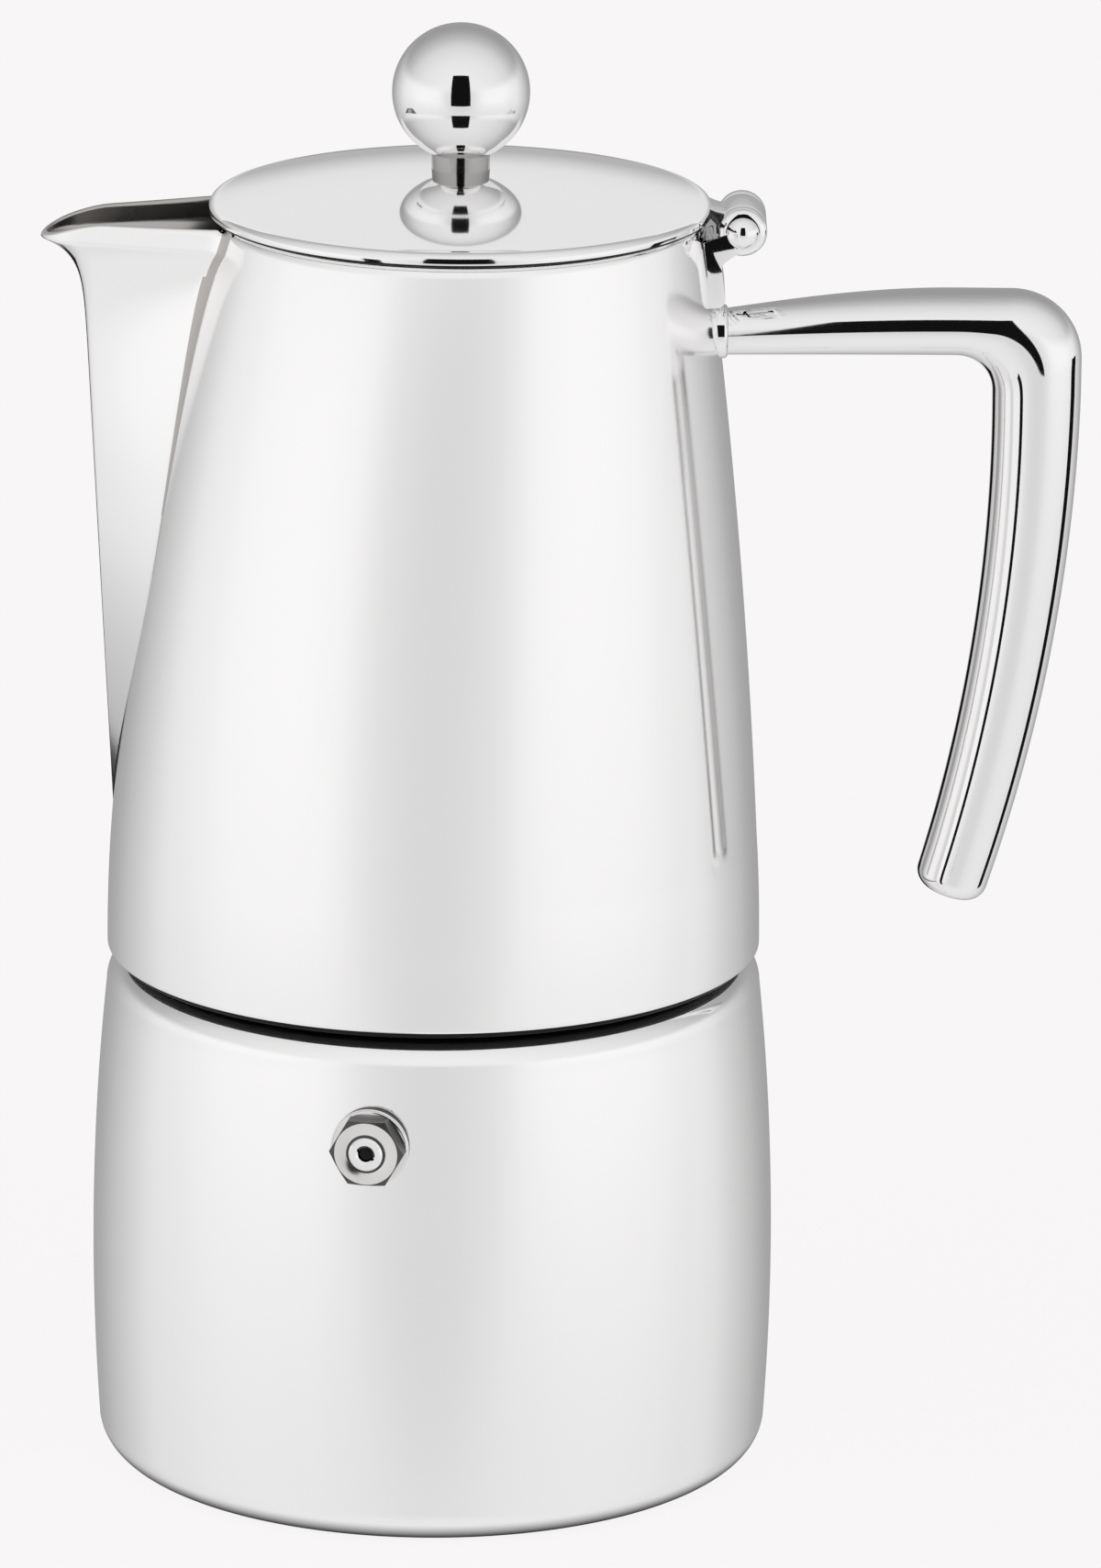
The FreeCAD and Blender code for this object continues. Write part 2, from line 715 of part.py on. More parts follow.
def spout_section(share, wall):
    """Level outline of the spout at a share of its height, set in by the wall."""
    foot = spout_foot.value
    lip = spout_lip.value
    height = foot + (lip - foot) * share
    above_lip = min(height - lip, 0.0)
    foot_ridge = skirt_radius.value - s.spout_foot_sink.value
    flare = s.spout_flare.value * math.exp(above_lip / s.spout_flare_length.value)
    ridge = foot_ridge + s.spout_lean.value * min(share, 1.0) + flare
    rounding = s.spout_prow_radius.value - s.spout_ridge_radius.value
    radius = s.spout_ridge_radius.value + rounding * math.exp(above_lip / s.spout_prow_length.value)
    spread = s.spout_lip_angle.value - s.spout_foot_angle.value
    angle = math.radians(s.spout_foot_angle.value + spread * min(share, 1.0) ** SPOUT_ANGLE_POWER)
    centre = -ridge + radius
    inner = radius - wall
    touch = FreeCAD.Vector(centre - inner * math.sin(angle), inner * math.cos(angle), height)
    flank = distance_to_wall(touch, angle) + s.spout_root.value
    end = touch + FreeCAD.Vector(flank * math.cos(angle), flank * math.sin(angle), 0)
    tip = FreeCAD.Vector(centre - inner, 0, height)
    mirror = FreeCAD.Vector(touch.x, -touch.y, height)
    other_end = FreeCAD.Vector(end.x, -end.y, height)
    return Part.Wire([
        Part.makeLine(end, touch),
        Part.Arc(touch, tip, mirror).toShape(),
        Part.makeLine(mirror, other_end),
        Part.makeLine(other_end, end),
    ])


def spout_loft(name, wall):
    solid = doc.addObject("Part::Feature", name)
    wires = [spout_section(share, wall) for share in SPOUT_SLOPE_SHARES + SPOUT_LIP_SHARES]
    solid.Shape = Part.makeLoft(wires, True, True)
    return solid


def spout_mouth():
    """Everything above the mouth's edge, which dips at the lip."""
    level = jug_rim.value - s.spout_mouth_drop.value
    lip = spout_lip.value
    tip = -(skirt_radius.value - s.spout_foot_sink.value + s.spout_lean.value + s.spout_flare.value)
    dip_start = tip + s.spout_dip_start.value
    reach = s.jug_rim_radius.value
    side = 2 * s.jug_rim_radius.value
    corners = (
        FreeCAD.Vector(0, -side / 2, level),
        FreeCAD.Vector(dip_start, -side / 2, level),
        FreeCAD.Vector(tip, -side / 2, lip),
        FreeCAD.Vector(tip - reach, -side / 2, lip),
        FreeCAD.Vector(tip - reach, -side / 2, level + reach),
        FreeCAD.Vector(0, -side / 2, level + reach),
    )
    sag = FreeCAD.Vector((dip_start + tip) / 2, -side / 2, level - (level - lip) * 0.3)
    edges = [
        Part.makeLine(corners[0], corners[1]),
        Part.Arc(corners[1], sag, corners[2]).toShape(),
        Part.makeLine(corners[2], corners[3]),
        Part.makeLine(corners[3], corners[4]),
        Part.makeLine(corners[4], corners[5]),
        Part.makeLine(corners[5], corners[0]),
    ]
    solid = doc.addObject("Part::Feature", "spout_mouth")
    solid.Shape = Part.Face(Part.Wire(edges)).extrude(FreeCAD.Vector(0, side, 0))
    return solid


jug_solid = jug_blank()
spout_channel = spout_loft("spout_channel", s.spout_wall.value)
jug_shell = cut("jug_shell", jug_solid, jug_hollow(), spout_channel)
spout = cut("spout", spout_loft("spout_blank", 0.0), spout_channel, jug_solid, spout_mouth())


def jug_floor():
    edge = skirt_radius - s.jug_wall - s.jug_floor_room
    bore = s.riser_foot_radius - s.riser_wall
    land = s.riser_foot_radius + s.riser_wall
    dome_bottom = floor_bottom + s.jug_floor_rise
    return turned("jug_floor", [
        (bore, dome_bottom),
        (land, dome_bottom),
        (s.jug_floor_land, floor_bottom),
        (edge, floor_bottom),
        (edge, floor_top),
        (s.jug_floor_land, floor_top),
        (land, riser_foot),
        (bore, riser_foot),
    ])


def jug_thread_ring():
    lip_top = jug_bottom + s.jug_wall
    flange_radius = skirt_radius - s.jug_wall - s.jug_floor_room
    outside = ring_bore + s.ring_wall
    return turned("jug_thread_ring", [
        (ring_bore, lip_top),
        (outside, lip_top),
        (outside, floor_bottom - s.ring_flange),
        (flange_radius, floor_bottom - s.ring_flange),
        (flange_radius, floor_bottom),
        (ring_bore, floor_bottom),
    ])


def riser_tube():
    return turned("riser_tube", [
        (s.riser_foot_radius - s.riser_wall, riser_foot),
        (s.riser_foot_radius, riser_foot),
        (s.riser_top_radius, riser_top),
        (s.riser_top_radius - s.riser_wall, riser_top),
    ])


def riser_cap():
    taper = (s.riser_foot_radius - s.riser_top_radius) / s.riser_length
    skirt_bore = s.riser_top_radius + taper * s.cap_overlap + s.fit_clearance
    outside = skirt_bore + s.cap_wall
    ledge = s.riser_top_radius - s.riser_wall / 2
    dome_foot = riser_top + s.cap_height / 2
    dome_rise = s.cap_height / 2
    dome_curve = (outside * outside + dome_rise * dome_rise) / (2 * dome_rise)
    cap = turned("riser_cap_turning", [
        (skirt_bore, riser_top - s.cap_overlap),
        (outside, riser_top - s.cap_overlap),
        (outside, dome_foot, dome_curve),
        (0, riser_top + s.cap_height),
        (0, riser_top + s.cap_height - s.cap_wall),
        (ledge, dome_foot),
        (ledge, riser_top),
        (skirt_bore, riser_top),
    ])
    window = box("riser_cap_window", s.cap_window_width, outside * 2, s.cap_window_height)
    place(window, -(s.cap_window_width / 2), -outside, riser_top + s.cap_wall / 2)
    return cut("riser_cap", cap, window)


# Lid and knob, about the rim's own middle

def lid_dome(radius, height, crown):
    """Radius of the arc from a rim at radius and height to a crown on the axis."""
    rise = crown - height
    return (radius * radius + rise * rise) / (2 * rise)


def lid_blank():
    dome_radius = lid_radius - s.lid_bead
    dome_foot = lid_bottom + s.lid_edge + s.lid_bead
    blank = turned("lid_blank", [
        (0, lid_bottom),
        (lid_radius, lid_bottom),
        (lid_radius, lid_bottom + s.lid_edge, s.lid_bead),
        (dome_radius, dome_foot, lid_dome(dome_radius, dome_foot, lid_crown)),
        (0, lid_crown),
    ])
    return place(blank, s.jug_rim_shift)


def lid_hollow():
    seat = lid_radius - s.lid_seat
    shelf = lid_bottom + s.lid_edge + s.lid_bead - s.lid_wall
    crown = lid_crown - s.lid_wall
    hollow = turned("lid_hollow", [
        (0, lid_bottom),
        (seat, lid_bottom),
        (seat, shelf, lid_dome(seat, shelf, crown)),
        (0, crown),
    ])
    return place(hollow, s.jug_rim_shift)


def knob():
    ball_middle = lid_crown + s.knob_neck_length + s.knob_radius
    neck_meets = ball_middle - root(
        s.knob_radius * s.knob_radius - s.knob_neck_radius * s.knob_neck_radius
    )
    bore = s.knob_screw_radius + s.fit_clearance
    bore_end = lid_crown + s.knob_screw_length + s.knob_screw_radius
    ball = turned("knob", [
        (bore, lid_crown),
        (s.knob_neck_radius, lid_crown),
        (s.knob_neck_radius, neck_meets, s.knob_radius),
        (0, ball_middle + s.knob_radius),
        (0, bore_end),
        (bore, bore_end),
    ])
    return place(ball, s.jug_rim_shift)


def knob_washer():
    washer_top = lid_crown - s.lid_wall - s.seat_gap * 2
    washer = ring(
        "knob_washer",
        s.knob_screw_radius + s.fit_clearance,
        s.knob_washer_radius,
        washer_top - s.knob_washer_thick,
        washer_top,
    )
    return place(washer, s.jug_rim_shift)


def knob_screw():
    head_top = lid_crown - s.lid_wall - s.seat_gap * 2 - s.knob_washer_thick
    screw = turned("knob_screw", [
        (0, head_top - s.knob_screw_head_thick),
        (s.knob_screw_head, head_top - s.knob_screw_head_thick),
        (s.knob_screw_head, head_top),
        (s.knob_screw_radius, head_top),
        (s.knob_screw_radius, lid_crown + s.knob_screw_length),
        (0, lid_crown + s.knob_screw_length),
    ])
    return place(screw, s.jug_rim_shift)


lid_solid = lid_blank()
screw_hole = cylinder("knob_screw_hole", s.knob_screw_radius + s.fit_clearance, s.lid_rise)
place(screw_hole, s.jug_rim_shift, 0, lid_bottom)
lid_shell = cut("lid_shell", lid_solid, lid_hollow(), screw_hole)


# Hinge

def jug_back(height):
    """X of the jug's wall on the handle's side at a height."""
    share = (height - jug_skirt_top.value) / (jug_rim.value - jug_skirt_top.value)
    level, shift, radius = jug_share(share)
    return shift.value + radius.value


def hinge_barrel(name, radius, length):
    return along_y(cylinder(name, radius, length), hinge_x, hinge_z, length)


def lid_tongue():
    edge = s.jug_rim_shift + lid_radius
    leaf_start = edge - s.tongue_grip
    bead_top = lid_bottom + s.lid_edge + s.lid_bead
    leaf = padded("tongue_leaf", [
        (leaf_start, bead_top),
        (edge, lid_bottom),
        (hinge_x - s.hinge_radius * 0.94, hinge_z),
        (hinge_x, hinge_z),
        (hinge_x - s.hinge_radius * 0.5, hinge_z + s.hinge_radius * 0.84),
        (edge - s.lid_bead, bead_top + s.tongue_thick),
        (leaf_start, bead_top + s.tongue_thick),
    ], s.hinge_knuckle)
    knuckle = hinge_barrel("tongue_knuckle", s.hinge_radius, s.hinge_knuckle)
    bore = hinge_barrel("tongue_bore", s.hinge_pin_radius + s.fit_clearance, s.hinge_length)
    return cut("lid_tongue", fuse("tongue_outside", leaf, knuckle), lid_solid, bore)


def hinge_lug():
    """Barrel ears carried by a strap that comes down the jug's wall."""
    barrel = hinge_barrel("lug_barrel", s.hinge_radius, s.hinge_length)
    strap_top = hinge_z - s.hinge_radius * 0.5
    strap_end = hinge_z - s.lug_strap_drop
    front_top = hinge_x - s.hinge_reach + s.jug_wall + s.lug_strap_thick
    front_end = as_size(jug_back(strap_end.value)) + s.lug_strap_thick
    inside = front_top - s.jug_wall * 3
    strap = padded("lug_strap", [
        (inside, strap_end),
        (front_end - s.lug_strap_rounding, strap_end, s.lug_strap_rounding),
        (front_end, strap_end + s.lug_strap_rounding),
        (front_top, hinge_z - s.hinge_radius * 1.5),
        (hinge_x, hinge_z - s.hinge_radius * 0.9),
        (hinge_x, hinge_z),
        (hinge_x - s.hinge_radius * 0.8, hinge_z),
        (inside, strap_top),
    ], s.hinge_length)
    outside = fuse("lug_outside", barrel, strap)
    gap = hinge_barrel("lug_gap", s.hinge_radius + s.hinge_gap, s.hinge_knuckle + s.hinge_gap * 2)
    bore = hinge_barrel("lug_bore", s.hinge_pin_radius, s.hinge_length)
    return cut("hinge_lug", outside, jug_solid, gap, bore)


def hinge_pin():
    head = s.hinge_head_height
    length = s.hinge_length + head * 2
    dome = (s.hinge_head_radius * s.hinge_head_radius + head * head) / (2 * head)
    pin = turned("hinge_pin", [
        (0, 0, dome),
        (s.hinge_head_radius, head),
        (s.hinge_pin_radius, head),
        (s.hinge_pin_radius, length - head),
        (s.hinge_head_radius, length - head, dome),
        (0, length),
    ])
    return along_y(pin, hinge_x, hinge_z, length)


# Handle: an arm with a level underside, a bend that fans about its inside corner, and a curved grip

collar_front = jug_back(handle_joint.value) + s.handle_collar_length.value


def handle_collar():
    length = s.handle_collar_length + s.jug_wall * 2
    blank = cylinder("handle_collar_blank", s.handle_collar_radius, length)
    place(blank, as_size(collar_front) - length, 0, handle_joint, (0, 90, 0))
    return cut("handle_collar", blank, jug_solid)


def handle_section(x, z, heading, thick, width):
    """Rounded section at x, z, square to a heading in the XZ plane."""
    up = FreeCAD.Vector(-math.sin(heading), 0, math.cos(heading))
    middle = FreeCAD.Vector(x, 0, z)
    points = []
    for index in range(SECTION_POINTS):
        turn = 2 * math.pi * index / SECTION_POINTS
        reach = [
            math.copysign(abs(part) ** (2 / SECTION_SQUARENESS), part)
            for part in (math.cos(turn), math.sin(turn))
        ]
        offset = up * (reach[0] * thick / 2) + FreeCAD.Vector(0, reach[1] * width / 2, 0)
        points.append(middle + offset)
    curve = Part.BSplineCurve()
    curve.interpolate(points, PeriodicFlag=True)
    return Part.Wire([curve.toShape()])


def blend(first, last, share):
    return first + (last - first) * share


def arm_sections():
    """Sections from the collar to the start of the bend."""
    root_under = handle_joint.value - s.handle_root_height.value / 2
    for index in range(ARM_STATIONS):
        share = index / ARM_STATIONS
        swell = math.sin(share * math.pi / 2)
        thick = blend(s.handle_root_height.value, s.handle_arm_thick.value, swell)
        under = blend(root_under, handle_under.value, swell)
        width = blend(s.handle_root_width.value, s.grip_width.value, swell)
        yield handle_section(blend(collar_front, bend_x.value, share), under + thick / 2, 0, thick, width)


def bend_reach(angle):
    """Distance from the bend's inside centre to its outside, at an angle above level."""
    width = handle_reach.value - bend_x.value
    height = handle_top.value - bend_z.value
    corner = s.handle_outer_corner.value
    across = math.cos(angle)
    upward = math.sin(angle)
    reach = min(width / max(across, 1e-9), height / max(upward, 1e-9))
    if reach * across > width - corner and reach * upward > height - corner:
        along = (width - corner) * across + (height - corner) * upward
        square = (width - corner) ** 2 + (height - corner) ** 2
        reach = along + math.sqrt(along * along - square + corner * corner)
    return reach


def bend_sections():
    """Sections that fan about the inside corner, from level to upright."""
    for index in range(BEND_STATIONS + 1):
        angle = math.pi / 2 * (1 - index / BEND_STATIONS)
        outer = bend_reach(angle)
        inner = s.handle_inner_corner.value
        middle = (inner + outer) / 2
        x = bend_x.value + middle * math.cos(angle)
        z = bend_z.value + middle * math.sin(angle)
        yield handle_section(x, z, angle - math.pi / 2, outer - inner, s.grip_width.value)


def grip_place(z):
    """X, lean and share of the way down the grip at a height."""
    top_x = handle_reach.value - s.grip_thick.value / 2
    lean = math.asin((bend_z.value - z) / s.grip_curve.value)
    x = top_x - s.grip_curve.value * (1 - math.cos(lean))
    share = (bend_z.value - z) / s.grip_length.value
    return x, lean, share


def grip_section(z, inset):
    """Section of the grip at a height, set in all round."""
    x, lean, share = grip_place(z)
    thick = blend(s.grip_thick.value, s.grip_end_thick.value, share)
    width = blend(s.grip_width.value, s.grip_end_width.value, share)
    return handle_section(x, z, -math.pi / 2 - lean, thick - inset * 2, width - inset * 2)


def grip_sections():
    """Sections down the grip, which curves in towards the jug."""
    last_z = grip_end.value + s.grip_end_rounding.value
    for index in range(1, GRIP_STATIONS + 1):
        yield grip_section(blend(bend_z.value, last_z, index / GRIP_STATIONS), 0)


def grip_end_sections():
    """Sections that round off the grip's end."""
    rounding = s.grip_end_rounding.value
    for turn in GRIP_END_TURNS:
        angle = math.radians(turn)
        z = grip_end.value + rounding * (1 - math.sin(angle))
        yield grip_section(z, rounding * (1 - math.cos(angle)))


def handle():
    wires = [*arm_sections(), *bend_sections(), *grip_sections(), *grip_end_sections()]
    grip = doc.addObject("Part::Feature", "handle")
    grip.Shape = Part.makeLoft(wires, True, True)
    return grip


SUB_PARTS = [
    boiler_shell,
    boiler_neck(),
    valve_body(),
    valve_washer(),
    valve_nut(),
    valve_seat(),
    valve_plunger(),
    valve_spring(),
    funnel_basket(),
    funnel_stem(),
    funnel_sieve(),
    filter_plate(),
    gasket(),
    jug_shell,
    spout,
    jug_floor(),
    jug_thread_ring(),
    riser_tube(),
    riser_cap(),
    lid_shell,
    knob(),
    knob_washer(),
    knob_screw(),
    lid_tongue(),
    hinge_lug(),
    hinge_pin(),
    handle_collar(),
    handle(),
]


def check_document():
    doc.recompute()
    for thing in doc.Objects:
        if "Invalid" in thing.State or "Error" in thing.State:
            raise RuntimeError(f"{thing.Label} did not build: {thing.State}")
    for piece in SUB_PARTS:
        shape = piece.Shape
        if shape.isNull() or not shape.isValid() or len(shape.Solids) != 1:
            raise RuntimeError(f"{piece.Label} is not one valid solid")


def write_parts():
    os.makedirs("parts", exist_ok=True)
    for piece in SUB_PARTS:
        piece.Shape.exportStep(f"parts/{piece.Label}.step")
        box_size = piece.Shape.BoundBox
        print(
            f"{piece.Label}: {piece.Shape.Volume:.1f} mm3, "
            f"x {box_size.XMin:.2f} to {box_size.XMax:.2f}, "
            f"y {box_size.YMin:.2f} to {box_size.YMax:.2f}, "
            f"z {box_size.ZMin:.2f} to {box_size.ZMax:.2f}"
        )


check_document()
write_parts()
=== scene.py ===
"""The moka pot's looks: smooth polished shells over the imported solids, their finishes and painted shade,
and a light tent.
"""
import math

import bmesh
import bpy
from mathutils import Matrix, Vector


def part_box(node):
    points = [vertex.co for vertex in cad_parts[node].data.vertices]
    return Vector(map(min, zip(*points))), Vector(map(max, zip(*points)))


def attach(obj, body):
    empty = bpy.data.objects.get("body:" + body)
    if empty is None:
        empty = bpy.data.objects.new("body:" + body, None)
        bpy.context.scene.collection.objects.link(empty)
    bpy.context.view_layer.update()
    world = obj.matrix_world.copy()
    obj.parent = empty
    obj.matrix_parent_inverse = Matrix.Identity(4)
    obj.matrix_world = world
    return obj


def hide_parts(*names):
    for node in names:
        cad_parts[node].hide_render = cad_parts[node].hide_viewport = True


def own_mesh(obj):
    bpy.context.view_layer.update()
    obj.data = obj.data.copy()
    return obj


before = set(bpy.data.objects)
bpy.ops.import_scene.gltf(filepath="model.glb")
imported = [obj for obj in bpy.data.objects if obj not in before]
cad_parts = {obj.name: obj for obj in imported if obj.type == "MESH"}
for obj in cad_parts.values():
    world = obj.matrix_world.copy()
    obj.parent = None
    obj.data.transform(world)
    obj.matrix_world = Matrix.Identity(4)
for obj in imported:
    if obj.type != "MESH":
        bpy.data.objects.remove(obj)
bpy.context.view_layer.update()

MM = 0.001

# Sizes in millimetres: the main forms as the solids have them, small edges as the photo shows them

BOILER_RADIUS = 50.0
BOILER_BELLY = 30.0
BOILER_CURVE = 390.0
BOILER_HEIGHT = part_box("boiler_shell")[1][2] / MM
BOILER_FOOT = 5.0
BOILER_SHOULDER = 4.5
BOILER_WALL = 1.2
BOILER_FLOOR = 2.0
NECK_RADIUS = 42.5
NECK_BORE = 39.5
NECK_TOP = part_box("boiler_neck")[1][2] / MM
NECK_FOOT = 0.6
NECK_LEAD = 0.8
NECK_CHAMFER = 0.5
THREAD_PITCH = 3.0
THREAD_DEPTH = 0.7
THREAD_FADE = 1.5
RING_BORE = 42.9
RING_WALL = 1.8
RING_FLANGE = 3.0
RING_LEAD = 0.4
RING_MARGIN = 0.5

JUG_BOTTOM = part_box("jug_shell")[0][2] / MM
JUG_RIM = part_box("jug_shell")[1][2] / MM
JUG_RADIUS = 47.7
JUG_FOOT = 1.6
GROOVE_HEIGHT = 0.9
GROOVE_DEPTH = 1.0
GROOVE_EDGE = 0.3
JUG_SKIRT = 17.6
JUG_SKIRT_CURVE = 233.0
JUG_RIM_RADIUS = 35.2
JUG_RIM_SHIFT = 3.5
JUG_EVEN_SHIFT = 0.3
JUG_BULGE = 1.6
JUG_WALL = 1.2
JUG_LIP = 3.0
JUG_ROWS = 120
BEAD_STEPS = 8
SKIRT_TOP = JUG_BOTTOM + JUG_SKIRT

SPOUT_FOOT = SKIRT_TOP + 2.0
SPOUT_LIP = JUG_RIM - 3.5
SPOUT_SINK = 0.4
SPOUT_LEAN = 4.3
SPOUT_FLARE = 5.8
SPOUT_FLARE_LENGTH = 2.6
SPOUT_FOOT_ANGLE = 72.0
SPOUT_LIP_ANGLE = 15.0
SPOUT_ANGLE_POWER = 1.6
SPOUT_ROOT = 6.0
SPOUT_RIDGE = 1.7
SPOUT_PROW = 6.5
SPOUT_PROW_LENGTH = 8.0
SPOUT_WALL = 1.0
SPOUT_MOUTH = JUG_RIM - 0.9
SPOUT_DIP = 9.5
SPOUT_DIP_LIMIT = 1.2
SPOUT_DIP_POWER = 1.6
SPOUT_BLEND = 4.5
SPOUT_OUTER_SINK = 0.06
SPOUT_INNER_SINK = 0.25
RIDGE_SHARE = 0.4
FLANK_SHARE = 0.4
BLEND_SHARE = 0.2
SPOUT_COLUMNS = 40
SPOUT_ROWS = 90
SPOUT_ROW_POWER = 1.7
MOUTH_TRIES = 30
MOUTH_STEPS = 6
MOUTH_ROUNDNESS = 0.8
CHANNEL_ROWS = 40
CHANNEL_STEPS = 24
CHANNEL_OVERRUN = 1.5

LID_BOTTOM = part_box("lid_shell")[0][2] / MM
LID_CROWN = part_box("lid_shell")[1][2] / MM
LID_RADIUS = 36.2
LID_EDGE = 0.7
LID_LOWER_EDGE = 0.4
LID_BEAD = 1.4
LID_WALL = 1.0
LID_SEAT = 3.2
LID_RIM_SHADE = 0.36
KNOB_RADIUS = 9.9
KNOB_NECK = 4.2
KNOB_SINK = 0.2
KNOB_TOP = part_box("knob")[1][2] / MM
SCREW_RADIUS = 2.0
SCREW_HEAD_RADIUS = 3.8
SCREW_HEAD_HEIGHT = 2.2
WASHER_BORE = 2.05
WASHER_RADIUS = 5.0

HINGE_X = JUG_RIM_SHIFT + JUG_RIM_RADIUS + 5.3
HINGE_Z = JUG_RIM - 1.1
HINGE_RADIUS = 3.1
BARREL_RADIUS = 3.5
BARREL_EDGE = 0.3
BARREL_END = 1.15
HINGE_HALF = 7.0
KNUCKLE_HALF = 4.0
HINGE_GAP = 0.3
HINGE_SOFTNESS = 0.3
PIN_RADIUS = 1.3
PIN_CLEARANCE = 0.15
PIN_HEAD_RADIUS = 2.3
PIN_HEAD_HEIGHT = 1.4
STRAP_THICK = 1.5
STRAP_DROP = 11.0
STRAP_SUNK = 1.0
WEB_FLANK = 0.1

HANDLE_JOINT = JUG_RIM - 17.1
HANDLE_ROOT_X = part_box("handle")[0][0] / MM
HANDLE_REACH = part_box("handle")[1][0] / MM
HANDLE_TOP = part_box("handle")[1][2] / MM
HANDLE_UNDER = HANDLE_TOP - 9.4
HANDLE_ROOT_HEIGHT = 6.7
HANDLE_ROOT_WIDTH = 7.2
COLLAR_RADIUS = 3.9
COLLAR_EDGE = 0.5
COLLAR_SUNK = 0.9
HANDLE_INNER = 5.5
HANDLE_OUTER = 10.0
GRIP_THICK = 12.8
GRIP_WIDTH = 13.4
GRIP_END_THICK = 10.4
GRIP_END_WIDTH = 11.4
GRIP_LENGTH = 75.3
GRIP_CURVE = 248.0
GRIP_ROUNDING = 2.4
GRIP_SQUARENESS = 2.1
ARM_ROWS = 40
BEND_ROWS = 48
GRIP_ROWS = 60
END_ROWS = 12
END_REST = 0.3

VALVE_ANGLE = 9.7
VALVE_HEIGHT = BOILER_HEIGHT - 15.1

ROUND = 256
HEX_ROUND = 192
FINE_ROUND = 128
SMALL_ROUND = 96
CUTTER_ROUND = 64
SHARP = 32.0
SOFT_ANGLE = 40.0
CORNER_STEPS = 5
PAINT_MARGIN = 0.02


# Outlines

def blend(first, last, share):
    return first + (last - first) * share


def full_turn(count):
    return [2 * math.pi * step / count for step in range(count)]


def arc(start, end, radius, steps):
    """Points of the arc that turns anticlockwise from start to end, ends included."""
    (x0, y0), (x1, y1) = start, end
    half = math.hypot(x1 - x0, y1 - y0) / 2
    rise = math.sqrt(max(radius * radius - half * half, 0.0))
    centre_x = (x0 + x1) / 2 - (y1 - y0) / (2 * half) * rise
    centre_y = (y0 + y1) / 2 + (x1 - x0) / (2 * half) * rise
    first = math.atan2(y0 - centre_y, x0 - centre_x)
    sweep = (math.atan2(y1 - centre_y, x1 - centre_x) - first) % (2 * math.pi)
    angles = [first + sweep * index / steps for index in range(steps + 1)]
    return [(centre_x + radius * math.cos(a), centre_y + radius * math.sin(a)) for a in angles]


def lower_corner(radius, height, rounding, steps):
    return arc((radius - rounding, height), (radius, height + rounding), rounding, steps)


def rounded(corners):
    """A closed outline whose corners, given as x, y and rounding, are rounded off."""
    points = []
    for index, (x, y, rounding) in enumerate(corners):
        here = Vector((x, y))
        before = Vector(corners[index - 1][:2]) - here
        after = Vector(corners[(index + 1) % len(corners)][:2]) - here
        if rounding <= 0:
            points.append((x, y))
            continue
        half_angle = before.angle(after) / 2
        cut = rounding / math.tan(half_angle)
        start = here + before.normalized() * cut
        end = here + after.normalized() * cut
        inward = (before.normalized() + after.normalized()).normalized()
        middle = here + inward * (rounding / math.sin(half_angle))
        for step in range(CORNER_STEPS + 1):
            spoke = (start - middle).slerp(end - middle, step / CORNER_STEPS)
            points.append(tuple(middle + spoke * rounding))
    return points


def sleeve(bore, radius, low, high, roundings):
    """Outline of a ring, whose corners are rounded in turn from the bore's low end outwards."""
    corners = ((bore, low), (radius, low), (radius, high), (bore, high))
    return rounded([(*corner, rounding) for corner, rounding in zip(corners, roundings)])


# Meshes

def skin(rings, loop=False, ends=False, closed=True):
    """Faces through rings of points: loop joins the last ring to the first, closed each ring to itself."""
    count = len(rings[0])
    vertices = [point for ring in rings for point in ring]
    pairs = [(index, index + 1) for index in range(len(rings) - 1)]
    if loop:
        pairs.append((len(rings) - 1, 0))
    faces = []
    for low, high in pairs:
        for step in range(count if closed else count - 1):
            following = (step + 1) % count
            corners = ((low, step), (low, following), (high, following), (high, step))
            faces.append(tuple(ring * count + point for ring, point in corners))
    if ends:
        faces.append(tuple(reversed(range(count))))
        faces.append(tuple(range((len(rings) - 1) * count, len(rings) * count)))
    return vertices, faces


def circle_ring(radius, height, centre_x=0.0, count=ROUND):
    return [(centre_x + radius * math.cos(t), radius * math.sin(t), height) for t in full_turn(count)]


def lathe(outline, centre_x=0.0, segments=ROUND):
    """A closed outline of radius and height turned about a vertical axis."""
    return skin([circle_ring(radius, height, centre_x, segments) for radius, height in outline], loop=True)


def prism(outline, half_width):
    """An outline in X and Z, pulled evenly to both sides of the XZ plane."""
    return skin([[(x, y, z) for x, z in outline] for y in (-half_width, half_width)], ends=True)


def new_object(name, data):
    thing = bpy.data.objects.new(name, data)
    bpy.context.scene.collection.objects.link(thing)
    return thing


def make_object(name, shape, sharp=SHARP, transform=None):
    """A mesh object from vertices and faces in millimetres, smooth but for edges over the sharp angle."""
    vertices, faces = shape
    mesh = bpy.data.meshes.new(name)
    mesh.from_pydata(vertices, [], faces)
    work = bmesh.new()
    work.from_mesh(mesh)
    bmesh.ops.remove_doubles(work, verts=work.verts, dist=1e-4)
    bmesh.ops.dissolve_degenerate(work, edges=work.edges, dist=1e-5)
    bmesh.ops.recalc_face_normals(work, faces=work.faces)
    placing = Matrix.Scale(MM, 4) @ (transform or Matrix.Identity(4))
    bmesh.ops.transform(work, matrix=placing, verts=work.verts)
    work.to_mesh(mesh)
    work.free()
    mesh.shade_smooth()
    mesh.set_sharp_from_angle(angle=math.radians(sharp))
    return new_object(name, mesh)


def bake(piece):
    """Apply a piece's modifiers to its mesh."""
    graph = bpy.context.evaluated_depsgraph_get()
    mesh = bpy.data.meshes.new_from_object(piece.evaluated_get(graph))
    piece.modifiers.clear()
    piece.data = mesh
    mesh.shade_smooth()
    mesh.set_sharp_from_angle(angle=math.radians(SHARP))


